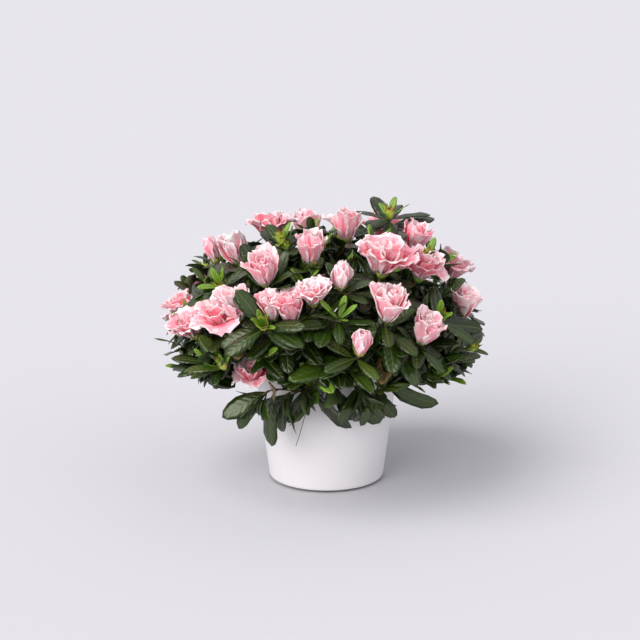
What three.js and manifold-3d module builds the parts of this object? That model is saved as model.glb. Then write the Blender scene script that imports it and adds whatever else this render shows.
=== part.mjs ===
// A flowering azalea shrub in a plain white pot, as an assembly of separate solids.
// Units are millimetres and +Z is up. The origin is the centre of the pot's flat underside, and the
// plant's front faces -Y. A bearing is counted from the front, positive towards +X; an elevation is
// counted up from the level of the crown's centre.
import * as THREE from "three";
import { mergeVertices } from "three/addons/utils/BufferGeometryUtils.js";
import Module from "manifold-3d";

const wasm = await Module();
wasm.setup();

// ---- Driving dimensions ----

const CLEARANCE = 0.3; // between any two neighbouring solids
const FINEST_EDGE = 0.03; // edges shorter than this are closed up where solids are fused

const POT = {
  rimRadius: 67.5,
  footRadius: 54,
  height: 112,
  wall: 4,
  floor: 5,
  footRounding: 5,
  sides: 40,
};

const SOIL = { belowRim: 12, crumble: 2.5 };

const TRUNK = {
  flareRadius: 10.5,
  flareHeight: 9,
  radius: 7.5,
  tipRadius: 4.6,
  height: 56,
  lean: 4,
  sides: 10,
  steps: 8,
};

// The crown is a dome that is a little squarer than an ellipsoid, uneven all round, and drops past
// the pot's rim.
const CROWN = {
  centreHeight: 137,
  halfWidth: 147,
  rise: 101,
  drop: 50,
  squareness: 2.3,
  unevenness: 0.045,
};

// Each ring of foliage masses: how many, the elevation of their hearts, the bearing of the first,
// and the height above the soil and the thickness at which their boughs leave the trunk.
const RINGS = [
  { name: "skirt", count: 7, elevation: 0, bearing: -58, leaves: [13, 26], radius: 2.9 },
  { name: "shoulder", count: 5, elevation: 45, bearing: 32, leaves: [42, 42], radius: 2.6 },
  { name: "top", count: 1, elevation: 90, bearing: 0, leaves: [56, 56], radius: 2.8 },
];
const HEART_SHARE = 0.62; // how far out a mass's heart lies, as a share of the crown's reach
const BOUGH = { share: 0.46, tipRadius: 2, sides: 6, steps: 4 }; // share says how far out it ends

const SHOOT = {
  share: 0.86, // how far out the tips lie, as a share of the crown's reach
  lift: 0.75, // how far they turn up, against how far they point out
  spacing: 42,
  lowest: -24, // elevation of the lowest shoots, in degrees
  fromSeam: 10, // least distance from the plane between two masses
  candidates: 420,
  leafyLength: 28,
};

// A mass's stem goes on from its bough; its leader goes on from the stem, and side twigs from that.
const STEM = { length: 13, tipRadius: 1.75, overlap: 1.5, sides: 6 };
const TWIG = { leaderRadius: 1.35, sideRadius: 1.15, tipRadius: 0.85, sides: 3, steps: 3 };

const LEAF = { length: 50, width: 22, fold: 0.11, droop: 0.1, count: 10 };
const GOLDEN_TURN = 137.5; // degrees from one leaf to the next, and from one shoot to the next

// The ways a leaf is tried until it fits: degrees closer to the shoot's axis, degrees round the
// axis, and a share of its size.
const LEAF_TRIES = [
  [0, 0, 1],
  [15, 25, 1],
  [15, -25, 1],
  [30, 0, 1],
  [5, 50, 0.9],
  [5, -50, 0.9],
  [20, 0, 0.75],
  [35, 30, 0.75],
  [0, 0, 0.6],
  [0, 40, 0.6],
  [0, -40, 0.6],
  [40, 0, 0.6],
];

// The blossoms, from full bloom to bud. The first two are thin-walled funnels with a lobed rim.
const BLOOMS = {
  open: { lobes: 5, radius: 29, depth: 25, waist: 0.36, waistAt: 0.66, rimAt: 0.9, heart: 0.42 },
  half: { lobes: 5, radius: 15, depth: 32, waist: 0.6, waistAt: 0.45, rimAt: 0.95, heart: 0 },
  bud: { radius: 6.5, depth: 22 },
};
const PETAL_THICKNESS = 1.3;
const HEART_TURN = 25; // the inner petals stand between the outer ones

// The shoots in flower, each [bearing, elevation, blossom, size as a share].
const FLOWERING = [
  // the front
  [-66, 4, "open", 0.9],
  [-47, 11, "open", 1.0],
  [-37, 20, "half", 0.95],
  [-25, 22, "half", 0.8],
  [-15, 18, "half", 0.95],
  [-6, 25, "open", 0.8],
  [-31, 32, "half", 1.0],
  [-4, 50, "half", 1.0],
  [34, 39, "open", 1.25],
  [7, 33, "bud", 1.1],
  [19, 18, "half", 1.1],
  [12, 6, "bud", 1.1],
  [39, 7, "half", 0.95],
  [-33, -15, "open", 0.85],
  // the right side, the back and the left side
  [66, 30, "open", 1.0],
  [84, 8, "half", 1.0],
  [92, 44, "half", 0.9],
  [112, 20, "open", 1.0],
  [131, 4, "bud", 1.0],
  [138, 46, "open", 1.1],
  [156, 22, "half", 1.0],
  [178, 9, "open", 0.95],
  [-168, 40, "half", 1.0],
  [-150, 18, "open", 1.0],
  [-131, 50, "open", 1.05],
  [-124, 6, "half", 1.0],
  [-104, 27, "bud", 1.1],
  [-92, 6, "open", 0.9],
  [-80, 40, "half", 1.0],
  [70, 78, "half", 1.0],
];

const SEEDS = { spiral: 7, shoots: 200, forks: 1000, nextDeal: 100 };

// Masses whose twigs and leaves are dealt again, and how many times, because a STEP reader turns
// the solid of an earlier deal inside out.
const DEALT_AGAIN = { skirt_1: 3, top: 3 };

const UP = new THREE.Vector3(0, 0, 1);
const CENTRE = new THREE.Vector3(0, 0, CROWN.centreHeight);
const SOIL_TOP = POT.height - SOIL.belowRim;
const radians = THREE.MathUtils.degToRad;

const MATERIALS = {
  pot: new THREE.MeshStandardMaterial({ color: 0xf2f1f0, roughness: 0.45, metalness: 0 }),
  soil: new THREE.MeshStandardMaterial({ color: 0x2a1e17, roughness: 1, metalness: 0 }),
  bark: new THREE.MeshStandardMaterial({ color: 0x5d4a38, roughness: 0.9, metalness: 0 }),
  foliage: new THREE.MeshStandardMaterial({ color: 0x2f4a24, roughness: 0.4, metalness: 0 }),
};

// ---- Chance, the same at every run ----

// A seeded stream of numbers from 0 to 1: 32-bit integer mixing.
function chance(seed) {
  let state = seed >>> 0;
  return () => {
    state = (state + 0x6d2b79f5) >>> 0;
    let mixed = Math.imul(state ^ (state >>> 15), state | 1);
    mixed ^= mixed + Math.imul(mixed ^ (mixed >>> 7), mixed | 61);
    return ((mixed ^ (mixed >>> 14)) >>> 0) / 4294967296;
  };
}

// ---- Solids from closed geometries ----

function solidOf(geometry) {
  const bare = geometry.clone();
  bare.deleteAttribute("normal");
  bare.deleteAttribute("uv");
  const merged = mergeVertices(bare, 1e-4);
  return new wasm.Manifold(
    new wasm.Mesh({
      numProp: 3,
      vertProperties: new Float32Array(merged.attributes.position.array),
      triVerts: new Uint32Array(merged.index.array),
    }),
  );
}

function geometryOf(solid) {
  const mesh = solid.getMesh();
  const points = new Float32Array(mesh.numVert * 3);
  for (let i = 0; i < mesh.numVert; i++)
    points.set(mesh.vertProperties.subarray(i * mesh.numProp, i * mesh.numProp + 3), i * 3);
  return new THREE.BufferGeometry()
    .setAttribute("position", new THREE.BufferAttribute(points, 3))
    .setIndex(new THREE.BufferAttribute(mesh.triVerts, 1));
}

// One solid from many: the outer skin of the largest piece, so hollows are filled and scraps dropped.
function fused(solids) {
  const bodies = wasm.Manifold.union(solids).simplify(FINEST_EDGE).decompose();
  return bodies.reduce((best, body) => (body.volume() > best.volume() ? body : best));
}

// ---- Building blocks ----

// A round limb that tapers along a curve: a cylinder whose rings are set on the curve.
function limbGeometry(curve, rootRadius, tipRadius, sides, steps) {
  const limb = new THREE.CylinderGeometry(tipRadius, rootRadius, 1, sides, steps);
  const frames = curve.computeFrenetFrames(steps, false);
  const position = limb.attributes.position;
  const place = new THREE.Vector3();
  for (let i = 0; i < position.count; i++) {
    const ring = Math.round((position.getY(i) + 0.5) * steps);
    curve.getPointAt(ring / steps, place);
    place.addScaledVector(frames.normals[ring], position.getX(i));
    place.addScaledVector(frames.binormals[ring], -position.getZ(i));
    position.setXYZ(i, place.x, place.y, place.z);
  }
  return limb;
}

// The six corners of a leaf, round its outline from the root at the origin. It points along +X
// and looks to +Z, with its margins lower than its midrib and its tip drooping.
function leafOutline(size) {
  const length = LEAF.length * size;
  const width = LEAF.width * size;
  const corner = (at, side) => {
    const fold = side ? LEAF.fold * width : 0;
    return new THREE.Vector3(at * length, side * width, -fold - at * at * LEAF.droop * length);
  };
  return [[0, 0], [0.34, -0.37], [0.72, -0.45], [1, 0], [0.72, 0.45], [0.34, 0.37]].map(
    ([at, side]) => corner(at, side),
  );
}

// Four faces above, folded along the midrib from corner 0 to corner 3, and four below.
const LEAF_TOP = [[0, 1, 3], [1, 2, 3], [0, 3, 5], [3, 4, 5]];
const LEAF_BELOW = [[0, 5, 1], [1, 5, 4], [1, 4, 2], [2, 4, 3]];
const LEAF_EDGES = [[1, 2], [2, 3], [3, 4], [4, 5], [5, 1]];

// A leaf's corners in the part's frame, from its root, its direction and the way it faces.
function leafCorners(root, along, face, size) {
  const across = new THREE.Vector3().crossVectors(face, along).normalize();
  const above = new THREE.Vector3().crossVectors(along, across).normalize();
  const turn = new THREE.Matrix4().makeBasis(along, across, above).setPosition(root);
  return leafOutline(size).map((corner) => corner.applyMatrix4(turn));
}

const leafSolid = (corners) =>
  solidOf(
    new THREE.BufferGeometry().setFromPoints(corners).setIndex([...LEAF_TOP, ...LEAF_BELOW].flat()),
  );

// Points all over a leaf, a few millimetres apart.
function leafSamples([root, r1, r2, tip, l2, l1]) {
  const stations = [[r1, l1], [r2, l2], [r1.clone().lerp(r2, 0.5), l1.clone().lerp(l2, 0.5)]];
  stations.push([r1.clone().lerp(root, 0.5), l1.clone().lerp(root, 0.5)]);
  stations.push([r2.clone().lerp(tip, 0.5), l2.clone().lerp(tip, 0.5)]);
  const shares = [0, 0.33, 0.67, 1];
  return [tip, ...stations.flatMap(([a, b]) => shares.map((share) => a.clone().lerp(b, share)))];
}

const leafFaces = (leaf) => LEAF_TOP.map((face) => face.map((i) => leaf[i]));

// The leaf's outline and midrib as pairs of points, without what is sunk in the twig.
const leafEdges = (leaf) => [
  ...LEAF_EDGES.map(([a, b]) => [leaf[a], leaf[b]]),
  [leaf[0].clone().lerp(leaf[3], 0.2), leaf[3]],
];

// Whether any of the edges passes through any of the faces.
function pierces(edges, faces) {
  const ray = new THREE.Ray();
  const hit = new THREE.Vector3();
  return edges.some(([from, to]) => {
    const length = from.distanceTo(to);
    ray.set(from, to.clone().sub(from).divideScalar(length));
    return faces.some(
      ([a, b, c]) => ray.intersectTriangle(a, b, c, false, hit) && hit.distanceTo(from) < length,
    );
  });
}

const crosses = (leaf, other) =>
  leaf[2].distanceTo(other[2]) < 2 * LEAF.length &&
  (pierces(leafEdges(leaf), leafFaces(other)) || pierces(leafEdges(other), leafFaces(leaf)));

// ---- The crown's form ----

function outward(bearing, elevation) {
  const b = radians(bearing);
  const e = radians(elevation);
  return new THREE.Vector3(Math.sin(b) * Math.cos(e), -Math.cos(b) * Math.cos(e), Math.sin(e));
}

// Distance from the crown's centre to its surface along a direction.
function crownReach(direction) {
  const level = Math.hypot(direction.x, direction.y) / CROWN.halfWidth;
  const upright = Math.abs(direction.z) / (direction.z >= 0 ? CROWN.rise : CROWN.drop);
  const smooth = (level ** CROWN.squareness + upright ** CROWN.squareness) ** (-1 / CROWN.squareness);
  const round = Math.atan2(direction.x, -direction.y);
  const lumps = Math.sin(3 * round + 4 * direction.z) + 0.7 * Math.sin(5 * round - 3 * direction.z);
  return smooth * (1 + CROWN.unevenness * lumps * Math.hypot(direction.x, direction.y));
}

function crownPoint(bearing, elevation, share) {
  const direction = outward(bearing, elevation);
  return direction.clone().multiplyScalar(share * crownReach(direction)).add(CENTRE);
}

function makeMasses() {
  return RINGS.flatMap((ring) =>
    Array.from({ length: ring.count }, (_, i) => {
      const bearing = ring.bearing + (360 / ring.count) * i;
      return {
        name: ring.count > 1 ? `${ring.name}_${i + 1}` : ring.name,
        heart: crownPoint(bearing, ring.elevation, HEART_SHARE),
        entry: crownPoint(bearing, ring.elevation, BOUGH.share),
        leavesTrunk: ring.leaves[i % 2],
        radius: ring.radius,
        shoots: [],
      };
    }),
  );
}

// How far a point lies inside a mass's space, which ends at the planes halfway to the other hearts.
function insideSpace(point, mass, masses) {
  let least = Infinity;
  for (const other of masses) {
    if (other === mass) continue;
    const towards = other.heart.clone().sub(mass.heart).normalize();
    const middle = other.heart.clone().add(mass.heart).multiplyScalar(0.5);
    least = Math.min(least, middle.sub(point).dot(towards));
  }
  return least;
}

const nearestMass = (point, masses) =>
  masses.reduce((a, b) =>
    a.heart.distanceToSquared(point) <= b.heart.distanceToSquared(point) ? a : b,
  );

// A shoot's tip is moved inwards until it is well inside its mass's space.
function settledTip(tip, mass, masses) {
  const settled = tip.clone();
  for (let round = 0; round < 3; round++)
    for (const other of masses) {
      if (other === mass) continue;
      const towards = other.heart.clone().sub(mass.heart).normalize();
      const middle = other.heart.clone().add(mass.heart).multiplyScalar(0.5);
      const depth = middle.sub(settled).dot(towards);
      if (depth < SHOOT.fromSeam) settled.addScaledVector(towards, depth - SHOOT.fromSeam);
    }
  return settled;
}

// Gives each mass its shoots: first those in flower, then leafy ones on a golden spiral wherever
// there is room.
function placeShoots(masses) {
  const random = chance(SEEDS.spiral);
  const wanted = FLOWERING.map(([bearing, elevation, bloom, size]) => ({
    bearing,
    elevation,
    bloom,
    size,
    share: SHOOT.share,
  }));
  const bottom = Math.sin(radians(SHOOT.lowest));
  for (let i = 0; i < SHOOT.candidates; i++) {
    const sine = 1 - ((1 - bottom) * (i + 0.5)) / SHOOT.candidates;
    wanted.push({
      bearing: (i * GOLDEN_TURN) % 360,
      elevation: THREE.MathUtils.radToDeg(Math.asin(sine)),
      bloom: null,
      size: 1,
      share: SHOOT.share * (0.88 + 0.18 * random()),
    });
  }
  const shoots = [];
  for (const { bearing, elevation, bloom, size, share } of wanted) {
    const rough = crownPoint(bearing, elevation, share);
    const mass = nearestMass(rough, masses);
    const tip = settledTip(rough, mass, masses);
    if (!bloom && shoots.some((other) => other.tip.distanceTo(tip) < SHOOT.spacing)) continue;
    const axis = outward(bearing, elevation).addScaledVector(UP, SHOOT.lift).normalize();
    const seed = SEEDS.shoots + shoots.length + SEEDS.nextDeal * (DEALT_AGAIN[mass.name] ?? 0);
    const shoot = { tip, axis, bloom, size, seed };
    mass.shoots.push(shoot);
    shoots.push(shoot);
  }
}

// ---- What foliage has to keep clear of ----

function outsidePot(point, margin) {
  const radius = Math.hypot(point.x, point.y);
  const share = THREE.MathUtils.clamp(point.z / POT.height, 0, 1);
  const wall = THREE.MathUtils.lerp(POT.footRadius, POT.rimRadius, share);
  return point.z > POT.height + margin || radius > wall + margin;
}

function clearOfLimbs(point, limbs, margin) {
  return limbs.every(({ line, radius }) =>
    line.every((_, i) => {
      if (i === 0) return true;
      const piece = new THREE.Line3(line[i - 1], line[i]);
      const nearest = piece.closestPointToPoint(point, true, new THREE.Vector3());
      return nearest.distanceTo(point) > radius + margin;
    }),
  );
}

// ---- Trunk and boughs ----

const TRUNK_LINE = new THREE.CatmullRomCurve3([
  new THREE.Vector3(0, 0, SOIL_TOP + CLEARANCE),
  new THREE.Vector3(0.2 * TRUNK.lean, 0, SOIL_TOP + 0.4 * TRUNK.height),
  new THREE.Vector3(0, 0.3 * TRUNK.lean, SOIL_TOP + TRUNK.height),
]);

// The trunk's radius at a height above the soil: a flared foot, then a straight taper.
function trunkRadius(height) {
  const flare = Math.max(0, 1 - height / TRUNK.flareHeight) ** 2;
  const taper = THREE.MathUtils.lerp(TRUNK.radius, TRUNK.tipRadius, height / TRUNK.height);
  return taper + (TRUNK.flareRadius - TRUNK.radius) * flare;
}

// The trunk, thicker all round by an extra amount.
function trunkGeometry(extra) {
  const trunk = limbGeometry(TRUNK_LINE, 1, 1, TRUNK.sides, TRUNK.steps);
  const position = trunk.attributes.position;
  const place = new THREE.Vector3();
  const axis = new THREE.Vector3();
  for (let i = 0; i < position.count; i++) {
    place.fromBufferAttribute(position, i);
    const share = THREE.MathUtils.clamp((place.z - SOIL_TOP) / TRUNK.height, 0, 1);
    TRUNK_LINE.getPoint(share, axis);
    const out = new THREE.Vector3(place.x - axis.x, place.y - axis.y, 0);
    if (out.length() > 0.2) place.addScaledVector(out, trunkRadius(share * TRUNK.height) + extra - 1);
    position.setXYZ(i, place.x, place.y, place.z);
  }
  return trunk;
}

function boughCurve(mass) {
  const start = TRUNK_LINE.getPoint(mass.leavesTrunk / TRUNK.height);
  const end = mass.entry;
  const away = new THREE.Vector3(end.x - start.x, end.y - start.y, 0);
  const lift = 0.62 * (end.z - start.z) + 4;
  const bend = start.clone().addScaledVector(away, 0.45).addScaledVector(UP, lift);
  if (mass.name === "top") {
    start.z += CLEARANCE;
    bend.copy(start).lerp(end, 0.5);
    bend.x -= 2;
  }
  return new THREE.QuadraticBezierCurve3(start, bend, end);
}

function makeBough(mass) {
  const curve = boughCurve(mass);
  mass.enters = curve.getTangent(1);
  mass.limb = { line: curve.getPoints(12), radius: mass.radius };
  return solidOf(limbGeometry(curve, mass.radius, BOUGH.tipRadius, BOUGH.sides, BOUGH.steps));
}

// ---- Blossoms ----

// A direction that leans from the axis by some degrees, towards a side given by a turn about it.
function leaning(axis, turn, lean) {
  const side = new THREE.Vector3(axis.z, 0, -axis.x);
  if (side.lengthSq() < 0.01) side.set(0, 1, 0);
  side.normalize().applyAxisAngle(axis, radians(turn));
  const upright = axis.clone().multiplyScalar(Math.cos(radians(lean)));
  return upright.addScaledVector(side, Math.sin(radians(lean)));
}

// Turns a geometry's +Z to the shoot's axis and moves its origin to the shoot's tip.
function placedOn(shoot, geometry) {
  geometry.applyQuaternion(new THREE.Quaternion().setFromUnitVectors(UP, shoot.axis));
  return geometry.translate(shoot.tip.x, shoot.tip.y, shoot.tip.z);
}

// A funnel turned from a profile, with every other point of its rim drawn in and raised.
function lobed(profile, rim, lobes, notch, wave) {
  const points = profile.map(([x, y]) => new THREE.Vector2(x, y));
  const funnel = new THREE.LatheGeometry(points, 2 * lobes).rotateX(Math.PI / 2);
  const position = funnel.attributes.position;
  for (let i = 0; i < position.count; i++) {
    const column = Math.floor(i / points.length);
    if (i % points.length !== rim || column % 2 === 0) continue;
    position.setX(i, position.getX(i) * notch);
    position.setY(i, position.getY(i) * notch);
    position.setZ(i, position.getZ(i) + wave);
  }
  return funnel;
}

function blossomGeometries(shoot, size) {
  const bloom = BLOOMS[shoot.bloom];
  const radius = bloom.radius * size;
  const depth = bloom.depth * size;
  if (shoot.bloom === "bud") {
    const profile = [[0, -2], [0.85 * radius, 0.3 * depth], [0.7 * radius, 0.75 * depth], [0, depth]];
    const points = profile.map(([x, y]) => new THREE.Vector2(x, y));
    return [placedOn(shoot, new THREE.LatheGeometry(points, 6).rotateX(Math.PI / 2))];
  }
  const waist = bloom.waist * radius;
  const waistAt = bloom.waistAt * depth;
  const flower = [
    [0, -2],
    [waist, waistAt],
    [radius, bloom.rimAt * depth],
    [waist - PETAL_THICKNESS, waistAt + PETAL_THICKNESS],
    [0, 0.3 * depth],
  ];
  const made = [lobed(flower, 2, bloom.lobes, 0.8, 0.16 * depth)];
  if (bloom.heart) {
    const heart = [[0, 0], [bloom.heart * radius, 1.15 * depth], [0, 0.7 * depth]];
    const petals = lobed(heart, 1, bloom.lobes, 0.78, 0.06 * depth);
    made.push(petals.rotateZ(radians(HEART_TURN)));
  }
  return made.map((geometry) => placedOn(shoot, geometry));
}

// A blossom is tried at smaller sizes until it fits.
function makeBlossom(shoot, fits) {
  let made;
  for (const shrink of [1, 0.88, 0.76, 0.64]) {
    made = blossomGeometries(shoot, shoot.size * shrink);
    if (made.every((geometry) => fits(cornersOf(geometry)))) break;
  }
  return made;
}

function cornersOf({ attributes: { position } }) {
  return Array.from({ length: position.count }, (_, i) =>
    new THREE.Vector3().fromBufferAttribute(position, i),
  );
}

function facesOf(geometry) {
  const corners = cornersOf(geometry);
  const { array } = geometry.index;
  return Array.from({ length: array.length / 3 }, (_, i) =>
    [0, 1, 2].map((k) => corners[array[3 * i + k]]),
  );
}

// ---- A mass of foliage ----

// The leaves of one shoot, spiralled down its last stretch: those near the tip stand up, and those
// below spread. A leaf that can't be fitted without crossing another is skipped.
function makeLeaves(shoot, twig, fits, others) {
  const random = chance(shoot.seed);
  const made = [];
  const length = twig.getLength();
  const first = 360 * random();
  for (let i = 0; i < LEAF.count; i++) {
    const share = i / (LEAF.count - 1);
    const root = twig.getPointAt(1 - (SHOOT.leafyLength * share + 0.8) / length);
    const size = (0.78 + 0.25 * share) * (0.92 + 0.16 * random());
    const spread = 62 + 30 * share + 8 * random();
    const turn = first + GOLDEN_TURN * i;
    for (const [closer, aside, shrink] of LEAF_TRIES) {
      const along = leaning(shoot.axis, turn + aside, spread - closer);
      along.z -= 0.1;
      const leaf = leafCorners(root, along.normalize(), shoot.axis, size * shrink);
      if (!fits(leaf) || [...others, ...made].some((other) => crosses(leaf, other))) continue;
      made.push(leaf);
      break;
    }
  }
  return made;
}

// A twig from a point on its parent to a shoot's tip, arriving along the shoot's axis.
function twigCurve(from, direction, shoot) {
  const reach = 0.36 * from.distanceTo(shoot.tip);
  return new THREE.CubicBezierCurve3(
    from,
    from.clone().addScaledVector(direction, reach),
    shoot.tip.clone().addScaledVector(shoot.axis, -reach),
    shoot.tip,
  );
}

// The twigs of a mass: a leader to the shoot most nearly ahead, and the rest forking from it.
function makeTwigs(mass, fork) {
  const towards = (shoot, from) => shoot.tip.clone().sub(from).normalize();
  const ahead = (shoot) => towards(shoot, fork).dot(mass.enters);
  const leader = mass.shoots.reduce((a, b) => (ahead(a) >= ahead(b) ? a : b));
  const main = twigCurve(fork, mass.enters, leader);
  const twig = (curve, radius) => ({ curve, radius, line: curve.getPoints(8) });
  return mass.shoots.map((shoot) => {
    if (shoot === leader) return twig(main, TWIG.leaderRadius);
    const share = 0.1 + 0.45 * chance(SEEDS.forks + shoot.seed)();
    const from = main.getPointAt(share);
    const direction = main.getTangentAt(share).add(towards(shoot, from)).normalize();
    return twig(twigCurve(from, direction, shoot), TWIG.sideRadius);
  });
}

function makeMass(mass, masses, limbs) {
  const free = (points) =>
    points.every(
      (point) =>
        insideSpace(point, mass, masses) > CLEARANCE &&
        outsidePot(point, 2) &&
        clearOfLimbs(point, limbs, 3.2),
    );
  const start = mass.entry.clone().addScaledVector(mass.enters, CLEARANCE);
  const fork = start.clone().addScaledVector(mass.enters, STEM.length);
  const stem = new THREE.LineCurve3(start, fork.clone().addScaledVector(mass.enters, STEM.overlap));
  const twigs = makeTwigs(mass, fork);
  const blossoms = mass.shoots.flatMap((shoot) => (shoot.bloom ? makeBlossom(shoot, free) : []));
  const petals = blossoms.flatMap(facesOf);
  const leaves = [];
  mass.shoots.forEach((shoot, i) => {
    const others = twigs.filter((twig) => twig !== twigs[i]);
    const fits = (leaf) => {
      const points = leafSamples(leaf);
      const blade = points.filter((point) => point.distanceTo(leaf[0]) > 6);
      return (
        free(points) &&
        blade.every((point) => clearOfLimbs(point, others, 1)) &&
        !pierces(leafEdges(leaf), petals)
      );
    };
    leaves.push(...makeLeaves(shoot, twigs[i].curve, fits, leaves));
  });
  return fused([
    solidOf(limbGeometry(stem, BOUGH.tipRadius, STEM.tipRadius, STEM.sides, 1)),
    ...twigs.map(({ curve, radius }) =>
      solidOf(limbGeometry(curve, radius, TWIG.tipRadius, TWIG.sides, TWIG.steps)),
    ),
    ...blossoms.map(solidOf),
    ...leaves.map(leafSolid),
  ]);
}

// ---- Pot and soil ----

// The pot's inner radius at a height above its underside.
const innerRadius = (height) =>
  THREE.MathUtils.lerp(POT.footRadius, POT.rimRadius, height / POT.height) - POT.wall;

function arc(centreX, centreY, radius, from, to, steps) {
  return Array.from({ length: steps + 1 }, (_, i) => {
    const angle = radians(from + ((to - from) * i) / steps);
    return [centreX + radius * Math.cos(angle), centreY + radius * Math.sin(angle)];
  });
}

function turned(profile) {
  const points = profile.map(([x, y]) => new THREE.Vector2(x, y));
  return new THREE.LatheGeometry(points, POT.sides).rotateX(Math.PI / 2);
}

function potGeometry() {
  const { footRadius, rimRadius, height, wall, floor, footRounding } = POT;
  const lip = wall / 2;
  return turned([
    [0, 0],
    ...arc(footRadius - footRounding, footRounding, footRounding, -90, 0, 2),
    ...arc(rimRadius - lip, height - lip, lip, 0, 180, 2),
    [innerRadius(floor), floor],
    [0, floor],
  ]);
}

function soilGeometry() {
  const base = POT.floor + CLEARANCE;
  const gap = CLEARANCE + 0.1;
  return turned([
    [0, base],
    [innerRadius(base) - gap, base],
    [innerRadius(SOIL_TOP - SOIL.crumble) - gap, SOIL_TOP - SOIL.crumble],
    [0.55 * innerRadius(SOIL_TOP), SOIL_TOP],
    [0, SOIL_TOP],
  ]);
}

// ---- The assembly ----

const plant = new THREE.Group();

function addNode(name, geometry, material) {
  const mesh = new THREE.Mesh(geometry, material);
  mesh.name = name;
  plant.add(mesh);
}

const masses = makeMasses();
placeShoots(masses);

addNode("pot", potGeometry(), MATERIALS.pot);
addNode("soil", soilGeometry(), MATERIALS.soil);
addNode("trunk", trunkGeometry(0), MATERIALS.bark);

const round = solidOf(trunkGeometry(CLEARANCE));
for (const mass of masses) {
  const bough = makeBough(mass);
  addNode(`bough_${mass.name}`, geometryOf(fused([bough.subtract(round)])), MATERIALS.bark);
}

const limbs = masses.map((mass) => mass.limb);
for (const mass of masses)
  addNode(`foliage_${mass.name}`, geometryOf(makeMass(mass, masses, limbs)), MATERIALS.foliage);

export default plant;
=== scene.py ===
"""The looks of a flowering azalea shrub in a white glazed pot.

Places are worked out in millimetres in the part's own frame: +Z is up, the front faces -Y and the
origin is the centre of the pot's flat underside. A bearing is counted from the front, positive
towards +X, and an elevation is counted up from the level of the crown's centre. Meshes are in
metres.
"""

import math
from collections import namedtuple

import bpy
import numpy as np
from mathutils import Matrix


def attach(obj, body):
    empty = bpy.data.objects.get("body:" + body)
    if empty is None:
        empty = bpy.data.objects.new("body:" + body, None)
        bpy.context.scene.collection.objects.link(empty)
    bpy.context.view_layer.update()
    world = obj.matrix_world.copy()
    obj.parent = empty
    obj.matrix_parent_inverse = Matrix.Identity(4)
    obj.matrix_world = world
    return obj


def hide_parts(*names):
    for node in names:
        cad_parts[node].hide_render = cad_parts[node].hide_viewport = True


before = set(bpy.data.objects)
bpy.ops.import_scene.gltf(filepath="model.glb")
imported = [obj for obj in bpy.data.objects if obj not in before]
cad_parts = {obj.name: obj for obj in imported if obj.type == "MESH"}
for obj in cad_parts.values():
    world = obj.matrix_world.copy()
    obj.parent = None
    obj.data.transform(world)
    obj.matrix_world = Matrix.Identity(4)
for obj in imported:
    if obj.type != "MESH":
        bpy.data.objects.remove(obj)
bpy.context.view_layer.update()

MM = 0.001

# ---- The plant's driving dimensions, as in its source ----

CLEARANCE = 0.3
POT = dict(rim_radius=67.5, foot_radius=54, height=112, wall=4, floor=5, foot_rounding=5)
SOIL_BELOW_RIM = 12
TRUNK = dict(flare_radius=10.5, flare_height=9, radius=7.5, tip_radius=4.6, height=56, lean=4)
CROWN = dict(
    centre_height=137, half_width=147, rise=101, drop=50, squareness=2.3, unevenness=0.045
)

# Each ring of foliage masses: how many, the elevation of their hearts, the bearing of the first,
# and the height above the soil and the thickness at which their boughs leave the trunk.
RINGS = [
    dict(name="skirt", count=7, elevation=0, bearing=-58, leaves=(13, 26), radius=2.9),
    dict(name="shoulder", count=5, elevation=45, bearing=32, leaves=(42, 42), radius=2.6),
    dict(name="top", count=1, elevation=90, bearing=0, leaves=(56, 56), radius=2.8),
]

# How far out the hearts of the masses, the ends of the boughs and the blossoms stand, as shares of
# the crown's reach, with what each limb needs besides.
HEART_SHARE = 0.62
BOUGH = dict(share=0.46, tip_radius=2.0, bend_out=0.45, bend_up=0.62, bend_rise=4)
SHOOT = dict(share=0.86, lift=0.75, spacing=42, lowest=-24, from_seam=10, candidates=420)
STEM = dict(length=13, tip_radius=1.75)
TWIG = dict(leader_radius=1.35, side_radius=1.15, tip_radius=0.85, bend=0.36)
LEAFY_DEPTHS = (0.88, 1.06)  # how far out leafy shoots reach, as shares of a blossom's
FORKS = (0.1, 0.55)  # shares of the leader's way between which side twigs leave it
GOLDEN_TURN = 137.5

# The shoots in flower, each [bearing, elevation, blossom, size as a share, paleness from -1 to 1].
FLOWERING = [
    # the front
    [-66, 4, "open", 0.9, 0.0],
    [-47, 11, "open", 1.0, -0.3],
    [-37, 20, "half", 0.95, 0.3],
    [-25, 22, "half", 0.8, 0.4],
    [-15, 18, "half", 0.95, 0.1],
    [-6, 25, "open", 0.8, 0.5],
    [-31, 32, "half", 1.0, 0.0],
    [-4, 50, "half", 1.0, 0.2],
    [34, 39, "open", 1.25, 0.0],
    [7, 33, "bud", 1.1, 0.8],
    [19, 18, "half", 1.1, 0.5],
    [12, 6, "bud", 1.1, 0.3],
    [39, 7, "half", 0.95, 0.0],
    [-33, -15, "open", 0.85, 0.2],
    # the right side, the back and the left side
    [66, 30, "open", 1.0, 0.0],
    [84, 8, "half", 1.0, 0.3],
    [92, 44, "half", 0.9, -0.2],
    [112, 20, "open", 1.0, 0.3],
    [131, 4, "bud", 1.0, 0.0],
    [138, 46, "open", 1.1, -0.2],
    [156, 22, "half", 1.0, 0.2],
    [178, 9, "open", 0.95, 0.0],
    [-168, 40, "half", 1.0, 0.4],
    [-150, 18, "open", 1.0, -0.3],
    [-131, 50, "open", 1.05, 0.2],
    [-124, 6, "half", 1.0, 0.0],
    [-104, 27, "bud", 1.1, 0.3],
    [-92, 6, "open", 0.9, 0.0],
    [-80, 40, "half", 1.0, 0.3],
    [70, 78, "half", 1.0, 0.0],
]
SEEDS = dict(
    spiral=7, shoots=200, forks=1000, next_deal=100, sprigs=41, leaves=5, petals=11, peat=3
)
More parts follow.
